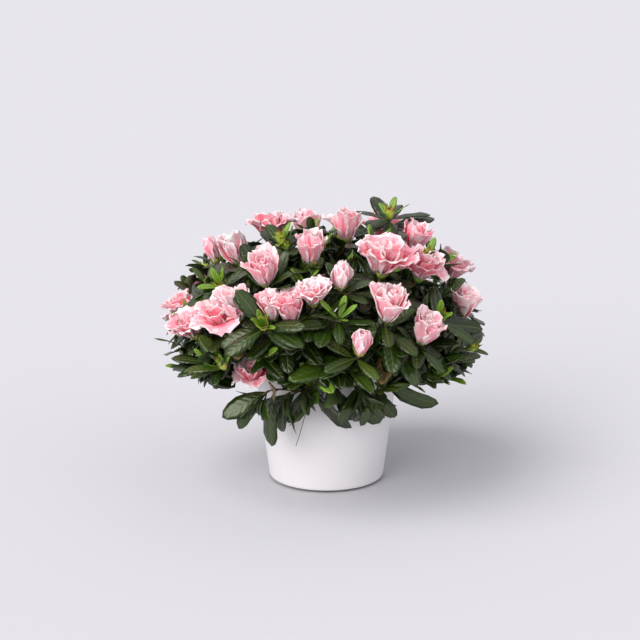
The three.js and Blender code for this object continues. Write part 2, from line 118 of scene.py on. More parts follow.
DEALT_AGAIN = dict(skirt_1=3, top=3)  # masses whose twigs the source deals again

# ---- What the finer foliage adds ----

# Sprigs carry the spiral of shoots on: the same rule with closer spacing.
SPRIG = dict(
    spacing=27,
    from_open_blossom=30,
    from_seam=6,
    from_pot=9,
    share=(0.66, 0.92),
    lowest=-27,
    candidates=1500,
    radius=0.9,
)
# A sprig's twig starts from the nearest point of the others, after millimetres are added for
# turning back and for a start that is too near.
TWIG_START = dict(turning_back=34, near=14, too_near=40)
LEAF = dict(length=44, width=17, thickness=0.5, from_pot=2)
# How many leaves a shoot or sprig has, and the length of its last stretch that carries them.
SHOOT_LEAVES, SPRIG_LEAVES = (10, 24), (8, 15)
OWN_STRETCH = 14
# Sprigs with places of their own, each [tip, axis, leaves, whether it is a flat whorl with young
# leaves and a bud]. The others hang in front of the pot.
OWN_SPRIGS = [
    [(58, 14, 244), (0.0, -0.2, 1.0), 12, True],
    [(13, 0, 219), (-0.1, -0.4, 1.0), 9, True],
    [(-40, -20, 225), (-0.2, -0.4, 1.0), 9, True],
    [(-92, -60, 194), (-0.4, -0.7, 1.0), 9, True],
    [(-53, -122, 172), (-0.2, -1.0, 0.9), 10, True],
    [(98, -80, 169), (0.3, -0.9, 0.9), 9, True],
    [(88, -40, 215), (0.3, -0.6, 1.0), 9, True],
    [(-19, -84, 107), (-0.1, -0.5, -1.0), 4, False],
    [(8, -88, 108), (0.1, -0.6, -1.0), 3, False],
    [(30, -86, 108), (0.1, -0.6, -1.0), 4, False],
    [(44, -80, 101), (0.2, -0.5, -1.0), 5, False],
    [(-57, -92, 104), (-0.7, -0.6, -0.6), 6, False],
    [(-38, -88, 100), (-0.4, -0.3, -1.0), 3, False],
]

# Threads left by fallen blossoms, which hang in front of the pot, as controls of their curves, and
# their radii at the root and at the tip.
THREADS = [
    [(-15, -86, 106), (-18, -84, 84), (-27.6, -72, 51)],
    [(48, -84, 104), (56, -86, 96), (50, -84, 82)],
]
THREAD_RADII = (0.5, 0.25)

UP = np.array([0.0, 0.0, 1.0])
CENTRE = np.array([0.0, 0.0, CROWN["centre_height"]])
SOIL_TOP = POT["height"] - SOIL_BELOW_RIM


# ---- Chance, the same at every run ----


def chance(seed):
    """A seeded stream of numbers from 0 to 1, the source's own: 32-bit integer mixing."""
    state = seed & 0xFFFFFFFF

    def draw():
        nonlocal state
        state = (state + 0x6D2B79F5) & 0xFFFFFFFF
        mixed = ((state ^ (state >> 15)) * (state | 1)) & 0xFFFFFFFF
        mixed ^= (mixed + (((mixed ^ (mixed >> 7)) * (mixed | 61)) & 0xFFFFFFFF)) & 0xFFFFFFFF
        return ((mixed ^ (mixed >> 14)) & 0xFFFFFFFF) / 4294967296

    return draw


# ---- Vectors, as arrays whose last axis is x, y, z ----


def unit(v):
    return v / np.maximum(np.linalg.norm(v, axis=-1, keepdims=True), 1e-9)


def dot(a, b):
    return np.sum(a * b, axis=-1)


def mix(a, b, share):
    return a + (b - a) * share


def outward(bearing, elevation):
    b, e = math.radians(bearing), math.radians(elevation)
    return np.array([math.sin(b) * math.cos(e), -math.cos(b) * math.cos(e), math.sin(e)])


def leaning(axis, turn, lean):
    """Directions at an angle from the axis, towards a side given by a turn about it (degrees)."""
    side = np.array([axis[2], 0.0, -axis[0]])
    side = unit(side) if side @ side > 0.01 else np.array([0.0, 1.0, 0.0])
    turn, lean = np.radians(turn)[..., None], np.radians(lean)[..., None]
    round_axis = np.cos(turn) * side + np.sin(turn) * np.cross(axis, side)
    return np.cos(lean) * axis + np.sin(lean) * round_axis


# ---- The crown's form and its masses ----


def crown_reach(direction):
    """Distance from the crown's centre to its surface: a dome a little squarer than an ellipsoid,
    (level^k + upright^k)^(-1/k), with level and upright the direction's parts over the crown's
    half width and its rise or drop, times low lumps that run round it."""
    x, y, z = (direction[..., i] for i in range(3))
    level = np.hypot(x, y) / CROWN["half_width"]
    upright = np.abs(z) / np.where(z >= 0, CROWN["rise"], CROWN["drop"])
    k = CROWN["squareness"]
    smooth = (level**k + upright**k) ** (-1 / k)
    way = np.arctan2(x, -y)
    lumps = np.sin(3 * way + 4 * z) + 0.7 * np.sin(5 * way - 3 * z)
    return smooth * (1 + CROWN["unevenness"] * lumps * np.hypot(x, y))


def crown_share(points):
    """How far out points lie, as a share of the crown's reach in their direction."""
    away = points - CENTRE
    return np.linalg.norm(away, axis=-1) / crown_reach(unit(away))


def crown_point(bearing, elevation, share):
    direction = outward(bearing, elevation)
    return CENTRE + share * crown_reach(direction) * direction


class Mass:
    """One mass of foliage: the bough that enters it, its own space, and its shoots."""

    def __init__(self, ring, i):
        bearing = ring["bearing"] + 360 / ring["count"] * i
        self.name = f"{ring['name']}_{i + 1}" if ring["count"] > 1 else ring["name"]
        self.heart = crown_point(bearing, ring["elevation"], HEART_SHARE)
        self.entry = crown_point(bearing, ring["elevation"], BOUGH["share"])
        self.leaves_trunk = ring["leaves"][i % 2]
        self.radius = ring["radius"]
        self.shoots = []
        self.sprigs = []

    def border(self, masses):
        """Its space ends at planes halfway to the other hearts: each is a normal and a limit."""
        others = np.array([other.heart for other in masses if other is not self])
        self.normals = unit(others - self.heart)
        self.limits = dot((others + self.heart) / 2, self.normals)

    def depth(self, points):
        """How far points lie inside its space."""
        return np.min(self.limits - points @ self.normals.T, axis=-1)

    def settled(self, tip, margin):
        """The point, moved inwards until it is well inside the space."""
        tip = tip.copy()
        for _ in range(3):
            for normal, limit in zip(self.normals, self.limits):
                depth = limit - tip @ normal
                if depth < margin:
                    tip += normal * (depth - margin)
        return tip


def nearest_mass(point, masses):
    return min(masses, key=lambda mass: np.linalg.norm(mass.heart - point))


def settled_tip(bearing, elevation, share, margin, masses):
    """The mass nearest to a place in the crown, and the tip that stands well inside it there."""
    rough = crown_point(bearing, elevation, share)
    mass = nearest_mass(rough, masses)
    return mass, mass.settled(rough, margin)


def outside_pot(points, margin):
    radius = np.hypot(points[..., 0], points[..., 1])
    height = points[..., 2]
    share = np.clip(height / POT["height"], 0, 1)
    wall = mix(POT["foot_radius"], POT["rim_radius"], share)
    return (height > POT["height"] + margin) | (radius > wall + margin)


def spiral(candidates, lowest):
    """Bearings and elevations of a golden spiral from the crown's top down to an elevation."""
    i = np.arange(candidates)
    sine = 1 - (1 - math.sin(math.radians(lowest))) * (i + 0.5) / candidates
    return zip((i * GOLDEN_TURN) % 360, np.degrees(np.arcsin(sine)))


def place_shoots(masses):
    """The source's rule: first the shoots in flower, then leafy ones wherever there is room."""
    random = chance(SEEDS["spiral"])
    wanted = [(b, e, SHOOT["share"], bloom, size, pale) for b, e, bloom, size, pale in FLOWERING]
    for b, e in spiral(SHOOT["candidates"], SHOOT["lowest"]):
        wanted.append((b, e, SHOOT["share"] * mix(*LEAFY_DEPTHS, random()), None, 1.0, 0.0))
    shoots = []
    for bearing, elevation, share, bloom, size, pale in wanted:
        mass, tip = settled_tip(bearing, elevation, share, SHOOT["from_seam"], masses)
        gaps = [np.linalg.norm(other["tip"] - tip) for other in shoots]
        if not bloom and min(gaps) < SHOOT["spacing"]:
            continue
        axis = unit(outward(bearing, elevation) + SHOOT["lift"] * UP)
        seed = SEEDS["shoots"] + len(shoots) + SEEDS["next_deal"] * DEALT_AGAIN.get(mass.name, 0)
        shoot = dict(tip=tip, axis=axis, bloom=bloom, size=size, pale=pale, seed=seed)
        mass.shoots.append(shoot)
        shoots.append(shoot)
    return shoots


def place_sprigs(masses, shoots):
    """Sprigs between the shoots: first those with places of their own, then others by the same
    spiral with closer spacing, some deeper in."""
    random = np.random.default_rng(SEEDS["sprigs"])
    tips = [shoot["tip"] for shoot in shoots]
    reach = [
        SPRIG["from_open_blossom"] * s["size"] if s["bloom"] == "open" else SPRIG["spacing"]
        for s in shoots
    ]

    def place(mass, tip, **more):
        mass.sprigs.append(dict(tip=tip, bloom=None, **more))
        tips.append(tip)
        reach.append(SPRIG["spacing"])

    for tip, axis, leaves, whorl in OWN_SPRIGS:
        tip, axis = np.array(tip, float), unit(np.array(axis))
        place(nearest_mass(tip, masses), tip, axis=axis, leaves=leaves, whorl=whorl)
    for bearing, elevation in spiral(SPRIG["candidates"], SPRIG["lowest"]):
        share = random.uniform(*SPRIG["share"])
        mass, tip = settled_tip(bearing, elevation, share, SPRIG["from_seam"], masses)
        gaps = np.linalg.norm(np.array(tips) - tip, axis=-1)
        if np.any(gaps < reach) or not outside_pot(tip, SPRIG["from_pot"]):
            continue
        lean = np.array([random.normal(0, 0.3), random.normal(0, 0.3), random.uniform(0.5, 1.6)])
        place(mass, tip, axis=unit(outward(bearing, elevation) + lean))


# ---- Curves of the limbs ----


def bezier(controls, stations):
    """Points of a Bezier curve at shares of its way: the controls are mixed in turn until one is
    left. Leading axes of the controls count curves."""
    level = [controls[..., i, None, :] for i in range(controls.shape[-2])]
    share = stations[:, None]
    while len(level) > 1:
        level = [mix(a, b, share) for a, b in zip(level, level[1:])]
    return level[0]


def trunk_line(share):
    """The trunk's centre at shares of its way up: quadratics through its foot, middle and tip."""
    share = np.asarray(share, float)[..., None]
    height = TRUNK["height"] * (0.4 * share**2 + 0.6 * share)
    x = 0.8 * TRUNK["lean"] * share * (1 - share)
    y = 0.3 * TRUNK["lean"] * (2 * share**2 - share)
    return np.concatenate([x, y, SOIL_TOP + height], axis=-1)


def bough_controls(mass):
    start = trunk_line(mass.leaves_trunk / TRUNK["height"])
    end = mass.entry
    away = np.array([end[0] - start[0], end[1] - start[1], 0])
    rise = BOUGH["bend_up"] * (end[2] - start[2]) + BOUGH["bend_rise"]
    bend = start + BOUGH["bend_out"] * away + UP * rise
    if mass.name == "top":
        bend = mix(start, end, 0.5) - np.array([2.0, 0, 0])
    return np.array([start, bend, end])


def twig_controls(start, direction, shoot):
    """A twig leaves along the direction and arrives along the axis of its shoot."""
    tip, axis = shoot["tip"], shoot["axis"]
    reach = TWIG["bend"] * np.linalg.norm(tip - start)
    return np.array([start, start + reach * direction, tip - reach * axis, tip])


def forked_controls(start, ahead, shoot):
    """A twig that leaves a limb halfway between the limb's direction and the way to its tip."""
    return twig_controls(start, unit(ahead + unit(shoot["tip"] - start)), shoot)


def length_along(points):
    """The length of a line of points up to each of them."""
    return np.append(0, np.cumsum(np.linalg.norm(np.diff(points, axis=0), axis=1)))


ALONG = np.linspace(0, 1, 9)


def grow(mass):
    """The twigs of a mass, by the source's rule: past the stem that goes on from the bough, a
    leader to the shoot most nearly ahead, side twigs from the leader, and a sprig's twig from the
    nearest point on those that doesn't turn back. Each shoot gets its line and its radius."""
    enters = unit(mass.entry - bough_controls(mass)[1])
    fork = mass.entry + (CLEARANCE + STEM["length"]) * enters
    leader = max(mass.shoots, key=lambda shoot: unit(shoot["tip"] - fork) @ enters)
    main = twig_controls(fork, enters, leader)
    fine = bezier(main, np.linspace(0, 1, 101))
    way = length_along(fine)
    for shoot in mass.shoots:
        controls, shoot["radius"] = main, TWIG["leader_radius"]
        if shoot is not leader:
            share = mix(*FORKS, chance(SEEDS["forks"] + shoot["seed"])())
            at = int(np.searchsorted(way, share * way[-1]))
            controls = forked_controls(fine[at], unit(fine[at + 1] - fine[at - 1]), shoot)
            shoot["radius"] = TWIG["side_radius"]
        shoot["line"] = bezier(controls, ALONG)
    starts = np.concatenate([shoot["line"][1:-1] for shoot in mass.shoots])
    tangents = np.concatenate([unit(np.gradient(s["line"], axis=0))[1:-1] for s in mass.shoots])
    for sprig in mass.sprigs:
        towards = sprig["tip"] - starts
        away = np.linalg.norm(towards, axis=-1)
        cost = away + TWIG_START["turning_back"] * (1 - dot(unit(towards), tangents))
        cost = cost + TWIG_START["too_near"] * (away < TWIG_START["near"])
        best = int(np.argmin(cost))
        sprig["line"] = bezier(forked_controls(starts[best], tangents[best], sprig), ALONG)
        sprig["radius"] = SPRIG["radius"]


# ---- Meshes as arrays ----

# Points, faces of four and of three corners, the number of each face's finish, and each point's
# place on the flat surface (its UV).
Shell = namedtuple("Shell", "points quads tris quad_finish tri_finish flat")


def copies(points, quads, tris, quad_finish=0, tri_finish=0, flat=(0.0, 0.0)):
    """Copies that share one set of faces as one Shell, their points counted (copy, point, axis)."""
    count, size = points.shape[:2]
    step = (np.arange(count) * size)[:, None, None]
    return Shell(
        points.reshape(-1, 3),
        (quads + step).reshape(-1, 4),
        (tris + step).reshape(-1, 3),
        np.broadcast_to(quad_finish, (count, len(quads))).reshape(-1),
        np.broadcast_to(tri_finish, (count, len(tris))).reshape(-1),
        np.broadcast_to(flat, (count, size, 2)).reshape(-1, 2),
    )


def make_piece(name, shell, finishes, nodes=()):
    """One smooth object at the origin from a Shell, on the part's one body."""
    mesh = bpy.data.meshes.new(name)
    corners = np.concatenate([shell.quads.ravel(), shell.tris.ravel()]).astype(np.int32)
    sizes = np.repeat([4, 3], [len(shell.quads), len(shell.tris)])
    starts = np.concatenate([[0], np.cumsum(sizes)[:-1]]).astype(np.int32)
    mesh.vertices.add(len(shell.points))
    mesh.vertices.foreach_set("co", (shell.points * MM).astype(np.float32).ravel())
    mesh.loops.add(len(corners))
    mesh.loops.foreach_set("vertex_index", corners)
    mesh.polygons.add(len(sizes))
    mesh.polygons.foreach_set("loop_start", starts)
    numbers = np.concatenate([shell.quad_finish, shell.tri_finish]).astype(np.int32)
    mesh.polygons.foreach_set("material_index", numbers)
    uv = mesh.uv_layers.new(name="surface")
    uv.data.foreach_set("uv", shell.flat[corners].astype(np.float32).ravel())
    for material in finishes:
        mesh.materials.append(material)
    mesh.update(calc_edges=True)
    mesh.validate()
    mesh.shade_smooth()
    piece = bpy.data.objects.new(name, mesh)
    bpy.context.scene.collection.objects.link(piece)
    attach(piece, "root")
    if nodes:
        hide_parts(*nodes)


def grid_quads(rows, columns):
    """Faces of a grid of points counted row by row, facing (along a row) x (up the rows)."""
    first = (np.arange(rows - 1)[:, None] * columns + np.arange(columns - 1)).reshape(-1, 1)
    return first + np.array([0, 1, columns + 1, columns])


def ring_faces(stations, sides):
    """Faces of stacked rings, and of the fans that close them on two last points."""
    i, j = np.meshgrid(np.arange(stations - 1), np.arange(sides), indexing="ij")
    low, high, step = i * sides, (i + 1) * sides, (j + 1) % sides
    quads = np.stack([low + j, low + step, high + step, high + j], -1)
    j, step = np.arange(sides), (np.arange(sides) + 1) % sides
    root, tip, last = stations * sides, stations * sides + 1, (stations - 1) * sides
    below = np.stack([np.full(sides, root), step, j], -1)
    above = np.stack([np.full(sides, tip), last + j, last + step], -1)
    return quads.reshape(-1, 4), np.concatenate([below, above])


def tubes(lines, radii, sides):
    """Limbs along centre lines (limb, station, axis): each station's ring is the centre plus
    radius x (cos a x normal + sin a x binormal), in the plane across the line."""
    tangents = unit(np.gradient(lines, axis=1))
    mean = np.abs(unit(tangents.mean(axis=1)))
    least = np.eye(3)[np.argmin(mean, axis=-1)][:, None]
    normals = unit(least - dot(least, tangents)[..., None] * tangents)
    binormals = np.cross(tangents, normals)
    a = 2 * np.pi * np.arange(sides) / sides
    radii = radii[..., None] if radii.ndim == 2 else radii
    rings = np.cos(a)[:, None] * normals[:, :, None] + np.sin(a)[:, None] * binormals[:, :, None]
    points = lines[:, :, None] + radii[..., None] * rings
    count, stations = lines.shape[:2]
    points = points.reshape(count, stations * sides, 3)
    points = np.concatenate([points, lines[:, :1], lines[:, -1:]], axis=1)
    return copies(points, *ring_faces(stations, sides))


def turned(profile, sides, relief=0.0):
    """A profile of (radius, height), from the axis out, up and back to the axis, turned round it.
    The relief is added to the heights of its points (station, side)."""
    a = 2 * np.pi * np.arange(sides) / sides
    radius, height = profile[1:-1, 0, None], profile[1:-1, 1, None]
    rings = np.stack([radius * np.cos(a), radius * np.sin(a), height + relief + 0 * a], -1)
    ends = np.array([[0, 0, profile[0, 1]], [0, 0, profile[-1, 1]]])
    points = np.concatenate([rings.reshape(-1, 3), ends])[None]
    return copies(points, *ring_faces(len(profile) - 2, sides))


# ---- Leaves ----

# Numbers of the leaves' finishes: blades from darkest to youngest, then what all leaves share.
DEEP, MID, OLIVE, YOUNG, BRONZE, MIDRIB, UNDERSIDE = range(7)

# A leaf is rows from its stalk to near its tip, of points across from margin to margin.
LEAF_ROWS = np.array([0, 0.09, 0.24, 0.42, 0.61, 0.79, 0.93])
LEAF_COLUMNS = np.array([-1, -0.5, -1, 1, 0.5, 1])  # the middle two edge the midrib
STALK_SHARE = 0.07
BLADE_PEAK = 0.374  # the largest value of q^0.85 (1-q)^0.6
MIDRIB_FLAT = 0.05  # how wide the midrib is on the flat, as a share of the blade


def leaf_faces():
    """Faces above row by row, the midrib's among them, two faces below to each row, and the fans
    at the tip and at the cut end of the stalk. A row is its points above and then one below."""
    rows, across = len(LEAF_ROWS), len(LEAF_COLUMNS)
    wide, under, right = across + 1, across, across - 1
    r, c = np.meshgrid(np.arange(rows - 1) * wide, np.arange(right), indexing="ij")
    above = np.stack([r + c, r + wide + c, r + wide + c + 1, r + c + 1], -1).reshape(-1, 4)
    r = np.arange(rows - 1)[:, None] * wide
    below = [r + [0, under, wide + under, wide], r + [under, right, wide + right, wide + under]]
    last, tip, c = (rows - 1) * wide, rows * wide, np.arange(right)
    tip_above = np.stack([last + c, np.full(right, tip), last + c + 1], -1)
    tip_below = np.array([[last, last + under, tip], [last + under, last + right, tip]])
    cut = np.stack([np.full(right, under), c, c + 1], -1)
    tris = np.concatenate([tip_above, tip_below, cut])
    return np.concatenate([above, *below]), tris, len(above)


def leaf_shape(leaves):
    """Points of leaves, from arrays of their sizes and bends.

    At q, which runs along the blade from the end of the stalk, half the width is width/2 x
    q^0.85 (1-q)^0.6, scaled to peak at 1. The midrib bends down as an arc. Each half rises from it
    by fold |t| and falls by curl t^2, with a slow wave that grows to the margin. The underside
    follows a thickness below.
    """
    keys = ("length", "width", "arch", "fold", "curl", "wave", "twist")
    length, width, arch, fold, curl, wave, twist = (leaves[key][:, None, None] for key in keys)
    s = LEAF_ROWS[:, None]
    q = np.clip((s - STALK_SHARE) / (1 - STALK_SHARE), 0, 1)
    half = width / 2 * np.maximum(q**0.85 * (1 - q) ** 0.6 / BLADE_PEAK, 0.075 - 0.02 * s)
    rib = np.minimum(0.34 * (1 - 0.5 * s), 0.6 * half)
    t = np.broadcast_to(LEAF_COLUMNS, half.shape[:2] + (6,)).copy()
    t[..., 2:4] *= rib / half
    y = t * half
    x = length * s * (1 - (arch * s) ** 2 / 6) + 0 * y
    rise = half * (fold * np.abs(t) - curl * t**2)
    ripple = 0.09 * half * t**2 * np.sin(2 * np.pi * 1.9 * s + wave + 1.5 * t)
    z = rise + ripple + y * twist * s - length * arch * s**2 / 2
    below = z[..., 2:3] - LEAF["thickness"] * (1.3 - 0.9 * s)
    under = np.stack([x[..., :1], 0 * below, below], -1)
    rows = np.concatenate([np.stack([x, y, z], -1), under], axis=2)
    tip = np.stack([length * (1 - arch**2 / 6), 0 * length, -length * arch / 2 - 0.2], -1)
    return np.concatenate([rows.reshape(len(rows), -1, 3), tip[:, 0]], axis=1)


def leaf_flat():
    """A leaf's points on the flat: across from 0 to 1, and along from 0 to 1."""
    across = np.append(LEAF_COLUMNS * [1, 1, MIDRIB_FLAT, MIDRIB_FLAT, 1, 1], 0)
    u, v = np.meshgrid(0.5 + across / 2, LEAF_ROWS)
    return np.append(np.stack([u, v], -1).reshape(-1, 2), [[0.5, 1.0]], axis=0)


def leaf_axes(along, face):
    """For each leaf, its axes as rows: along it, across it, and out of its upper side."""
    across = unit(np.cross(face, along))
    return np.stack([along, across, np.cross(along, across)], axis=-2)


def leaves_shell(leaves):
    """Leaves with their blade's finish above, in which the midrib is the middle face of each row,
    and the underside's below and at the cut stalk."""
    points = leaf_shape(leaves) @ leaf_axes(leaves["along"], leaves["face"])
    points += leaves["root"][:, None]
    quads, tris, above = leaf_faces()
    wide = len(LEAF_COLUMNS) - 1
    quad_finish = np.full((len(points), len(quads)), UNDERSIDE)
    quad_finish[:, :above] = leaves["finish"][:, None]
    quad_finish[:, wide // 2 : above : wide] = MIDRIB
    tri_finish = np.full((len(points), len(tris)), UNDERSIDE)
    tri_finish[:, :wide] = leaves["finish"][:, None]
    return copies(points, quads, tris, quad_finish, tri_finish, leaf_flat())


# Where a leaf is felt for others: shares along it, and from its midrib to its margins.
FELT_ALONG = np.array([0.3, 0.55, 0.8, 0.98, 0.45, 0.45, 0.75, 0.75])
FELT_ACROSS = np.array([0, 0, 0, 0, 0.75, -0.75, 0.7, -0.7])


def feelers(leaf, axes):
    """Points that stand for a leaf while it is fitted, for each way of turning its axes."""
    s, length, width = FELT_ALONG, leaf["length"], leaf["width"]
    bent = -length * leaf["arch"] * s**2 / 2
    return np.stack([length * s, width / 2 * FELT_ACROSS, bent], -1) @ axes + leaf["root"]


def clear_of_blossoms(points, blossoms):
    """Whether points are outside every blossom: an ellipsoid round its middle, along its axis."""
    away = points[..., None, :] - blossoms["middle"]
    ahead = dot(away, blossoms["axis"])
    aside = np.sqrt(np.maximum(dot(away, away) - ahead**2, 0))
    within = (ahead / blossoms["half_depth"]) ** 2 + (aside / blossoms["radius"]) ** 2 < 1
    return ~within.any(axis=-1)


# The ways a leaf is tried until it fits: degrees closer to the axis and degrees round it, each at
# full size and then smaller.
TRIED_CLOSER = np.array([0, 12, 12, -10, -10, 25, 8, 8, 30, 30])
TRIED_ROUND = np.array([0, 18, -18, 10, -12, 0, 36, -36, 25, -25])
SHRINKS = (1.0, 0.8)
LEAST_GAP, WIDE_GAP = 1.1, 3.6  # gaps between leaves: the least, and what counts as wide enough

# Sizes of leaves and the degrees by which they spread, from a spray's tip to its lowest leaf, with
# the range of chance in a size.
LEAF_SIZES, LEAF_SPREADS, SIZE_RANGE = (0.74, 1.06), (52, 86), (0.86, 1.12)
OWN_SIZE = 1.12  # how much larger the leaves of sprigs with places of their own are
WHORL_SPREADS = (50, 0.4)  # degrees, and the share of the usual spread that is added
HANGING_SPREAD = 0.6  # share of the usual spread
SAG = 0.12  # how far leaves hang, as a share of their length
FACE_LIFT = 0.5  # how far their upper sides turn up from the shoot's axis, as a share of it
BARE_TIP, UNDER_BLOSSOM = 1.5, 5  # how far behind the tip the first leaf stands
FINE_STATIONS = 60  # stations of a twig's line among which leaves' places are found

HIGH_WHORL = 200  # height from which a whorl's leaves may stand in front of blossoms
WHORL_DROP = 22  # how far below its tip a whorl's leaves may reach
CROWN_EDGE = 1.04  # share of the crown's reach at which leaves end
LEAVES_END, FRONT_RISE = 88, 0.22  # height at which they end at the sides, and its rise in front

# For the leaves that keep clear of it, a blossom is an ellipsoid of this radius and depth. It is
# kept clear itself, and so are two zones before it on the way to one who looks at it from outside
# and a little above: each as the way out to it, and its half depth and radius as shares.
BLOSSOM_RADIUS = dict(open=25, half=13, bud=8)
BLOSSOM_DEPTH = dict(open=28, half=34, bud=24)
CLEAR_ZONES = [(0, 0.62, 1.0), (22, 0.5, 0.8), (44, 0.42, 0.65)]
VIEW_RISE = 0.23
MIDDLE_SHARE = 0.6  # how far up its depth a blossom's middle lies


def gathered(parts):
    """Dicts of arrays as one dict, key by key."""
    return {key: np.concatenate([part[key] for part in parts]) for key in parts[0]}


def blossom_zones(shoots):
    """The zones of all blossoms that leaves keep clear of, and the blossoms themselves."""
    tips = np.array([s["tip"] for s in shoots])
    axes = np.array([blossom_axis(s) for s in shoots])
    deep = np.array([BLOSSOM_DEPTH[s["bloom"]] * s["size"] for s in shoots])
    wide = np.array([BLOSSOM_RADIUS[s["bloom"]] * s["size"] for s in shoots])
    middles = tips + axes * (MIDDLE_SHARE * deep)[:, None]
    view = unit(tips * [1, 1, 0]) + VIEW_RISE * UP
    zones = [
        dict(middle=middles + out * view, axis=axes, half_depth=depth * deep, radius=radius * wide)
        for out, depth, radius in CLEAR_ZONES
    ]
    return dict(gathered(zones), themselves=zones[0])


def leaf_fits(points, shoot, mass, blossoms):
    """Which ways of a leaf keep clear of the pot and of the blossoms' zones. Leaves of a high
    whorl keep clear of the blossoms themselves only, and no whorl's leaf hangs far below it. The
    rule's leaves keep to the mass's space and the crown, and end above the pot."""
    own, tip_height = "whorl" in shoot, shoot["tip"][2]
    zones = blossoms["themselves"] if own and tip_height > HIGH_WHORL else blossoms
    fits = outside_pot(points, LEAF["from_pot"]) & clear_of_blossoms(points, zones)
    if not own:
        lowest = LEAVES_END + FRONT_RISE * np.maximum(-points[..., 1], 0)
        fits &= (mass.depth(points) > CLEARANCE) & (crown_share(points) < CROWN_EDGE)
        fits &= points[..., 2] > lowest
    elif shoot["whorl"]:
        fits &= points[..., 2] > tip_height - WHORL_DROP
    return fits.all(axis=-1)


def fitted(leaf, turn, spread, shoot, mass, blossoms, taken):
    """The way in which a leaf fits best, with the points that stand for it: the widest gap from
    the points taken, and the first of those that are wide enough. None where no way fits."""
    along = leaning(shoot["axis"], turn + TRIED_ROUND, spread - TRIED_CLOSER)
    along = unit(along - SAG * UP)
    points = feelers(leaf, leaf_axes(along, np.broadcast_to(leaf["face"], along.shape)))
    fits = leaf_fits(points, shoot, mass, blossoms)
    if not fits.any():
        return None
    gaps = np.linalg.norm(points[:, :, None] - taken, axis=-1).min(axis=(1, 2))
    score = np.where(fits, np.minimum(gaps, WIDE_GAP) - 0.02 * np.arange(len(gaps)), -1)
    best = int(np.argmax(score))
    return (along[best], points[best]) if score[best] >= LEAST_GAP else None


def place_leaves(mass, blossoms, random):
    """The leaves of a mass. On each shoot and sprig they spiral down its last stretch: those near
    the tip stand up, and those below spread and hang. A whorl's leaves spread flat, and those of
    a hanging sprig lie closer to it. A leaf that fits in no way is left out."""
    made = []
    taken = np.full((1, 3), 1e6)  # a first point, far from all leaves
    for shoot in mass.shoots + mass.sprigs:
        count, stretch = SHOOT_LEAVES if "seed" in shoot else SPRIG_LEAVES
        if "whorl" in shoot:
            count, stretch = shoot["leaves"], OWN_STRETCH
        line = finer(shoot["line"], FINE_STATIONS)[::-1]
        ways = length_along(line)
        first = random.uniform(0, 360)
        for i in range(count):
            share = i / (count - 1)
            back = stretch * share**1.3 + (UNDER_BLOSSOM if shoot["bloom"] else BARE_TIP)
            root = line[min(int(np.searchsorted(ways, back)), len(line) - 2)]
            size = mix(*LEAF_SIZES, share) * random.uniform(*SIZE_RANGE)
            spread = mix(*LEAF_SPREADS, share) + random.normal(0, 6)
            if "whorl" in shoot:
                size = OWN_SIZE * size
                least, more = WHORL_SPREADS
                spread = least + more * spread if shoot["whorl"] else HANGING_SPREAD * spread
            turn = first + GOLDEN_TURN * i + random.normal(0, 8)
            arch = random.uniform(0.12, 0.5) + 0.15 * share
            leaf = dict(root=root, face=unit(shoot["axis"] + FACE_LIFT * UP), arch=arch)
            for shrink in SHRINKS:
                leaf.update({key: LEAF[key] * size * shrink for key in ("length", "width")})
                way = fitted(leaf, turn, spread, shoot, mass, blossoms, taken)
                if way:
                    leaf["along"] = way[0]
                    leaf["finish"] = leaf_tone(shoot["tone"], share, random)
                    taken = np.concatenate([taken, way[1]])
                    made.append(leaf)
                    break
    return {key: np.array([leaf[key] for leaf in made]) for key in made[0]}


def finer(line, stations):
    """A line with more stations, straight between its own."""
    at = np.linspace(0, len(line) - 1, stations)
    return np.stack([np.interp(at, np.arange(len(line)), line[:, k]) for k in range(3)], -1)


# Where deep, mid and olive sprays end among the draws of chance; the rest are young.
TONES_END = (0.42, 0.78, 0.93)
YOUNG_TIPS, DEEP_WHORLS = 0.55, 0.5  # shares of all tips and of whorls
OLDEST, BRONZED = 0.7, 0.03  # where a spray's oldest leaves start, and the share of them in bronze
TURNED_OLIVE = 0.45  # where a young spray's leaves have turned olive
KEPT_TONE = 0.85  # share of leaves that keep their spray's tone


def deal_tones(shoots, random):
    """The tone of each shoot's leaves, and of the young leaves at its tip."""
    for shoot in shoots:
        draw = random.random()
        shoot["tone"] = int(np.searchsorted(TONES_END, draw, side="right"))
        shoot["tip_tone"] = YOUNG if random.random() < YOUNG_TIPS else OLIVE
        if "whorl" in shoot:
            shoot["tone"] = DEEP if draw < DEEP_WHORLS else MID
            shoot["tip_tone"] = YOUNG if shoot["whorl"] else MID


def leaf_tone(tone, share, random):
    """A spray's leaves share its tone; a few of the oldest have turned bronze."""
    if share > OLDEST and random.random() < BRONZED:
        return BRONZE
    if tone == YOUNG and share > TURNED_OLIVE:
        return OLIVE
    return tone if random.random() < KEPT_TONE else MID


def bends(count, random):
    """How each leaf is folded, curled, waved and twisted."""
    return dict(
        fold=random.uniform(0.2, 0.5, count),
        curl=random.uniform(0.05, 0.42, count),
        wave=random.uniform(0, 2 * np.pi, count),
        twist=random.normal(0, 0.16, count),
    )


def tip_leaves(shoots, random):
    """Young leaves that stand up round the tips of leafy shoots, small and narrow."""
    made = []
    for shoot in shoots:
        axis, count = shoot["axis"], random.integers(3, 6)
        turns = random.uniform(0, 360) + GOLDEN_TURN * np.arange(count)
        along = leaning(axis, turns, random.uniform(14, 46, count))
        length = LEAF["length"] * random.uniform(0.3, 0.6, count)
        leaves = dict(
            root=np.tile(shoot["tip"] - 1.2 * axis, (count, 1)),
            along=along,
            face=np.tile(axis, (count, 1)),
            length=length,
            width=length * random.uniform(0.26, 0.36, count),
            arch=random.uniform(0.1, 0.5, count),
            finish=np.full(count, shoot["tip_tone"]),
        )
        made.append(leaves)
    return gathered(made)


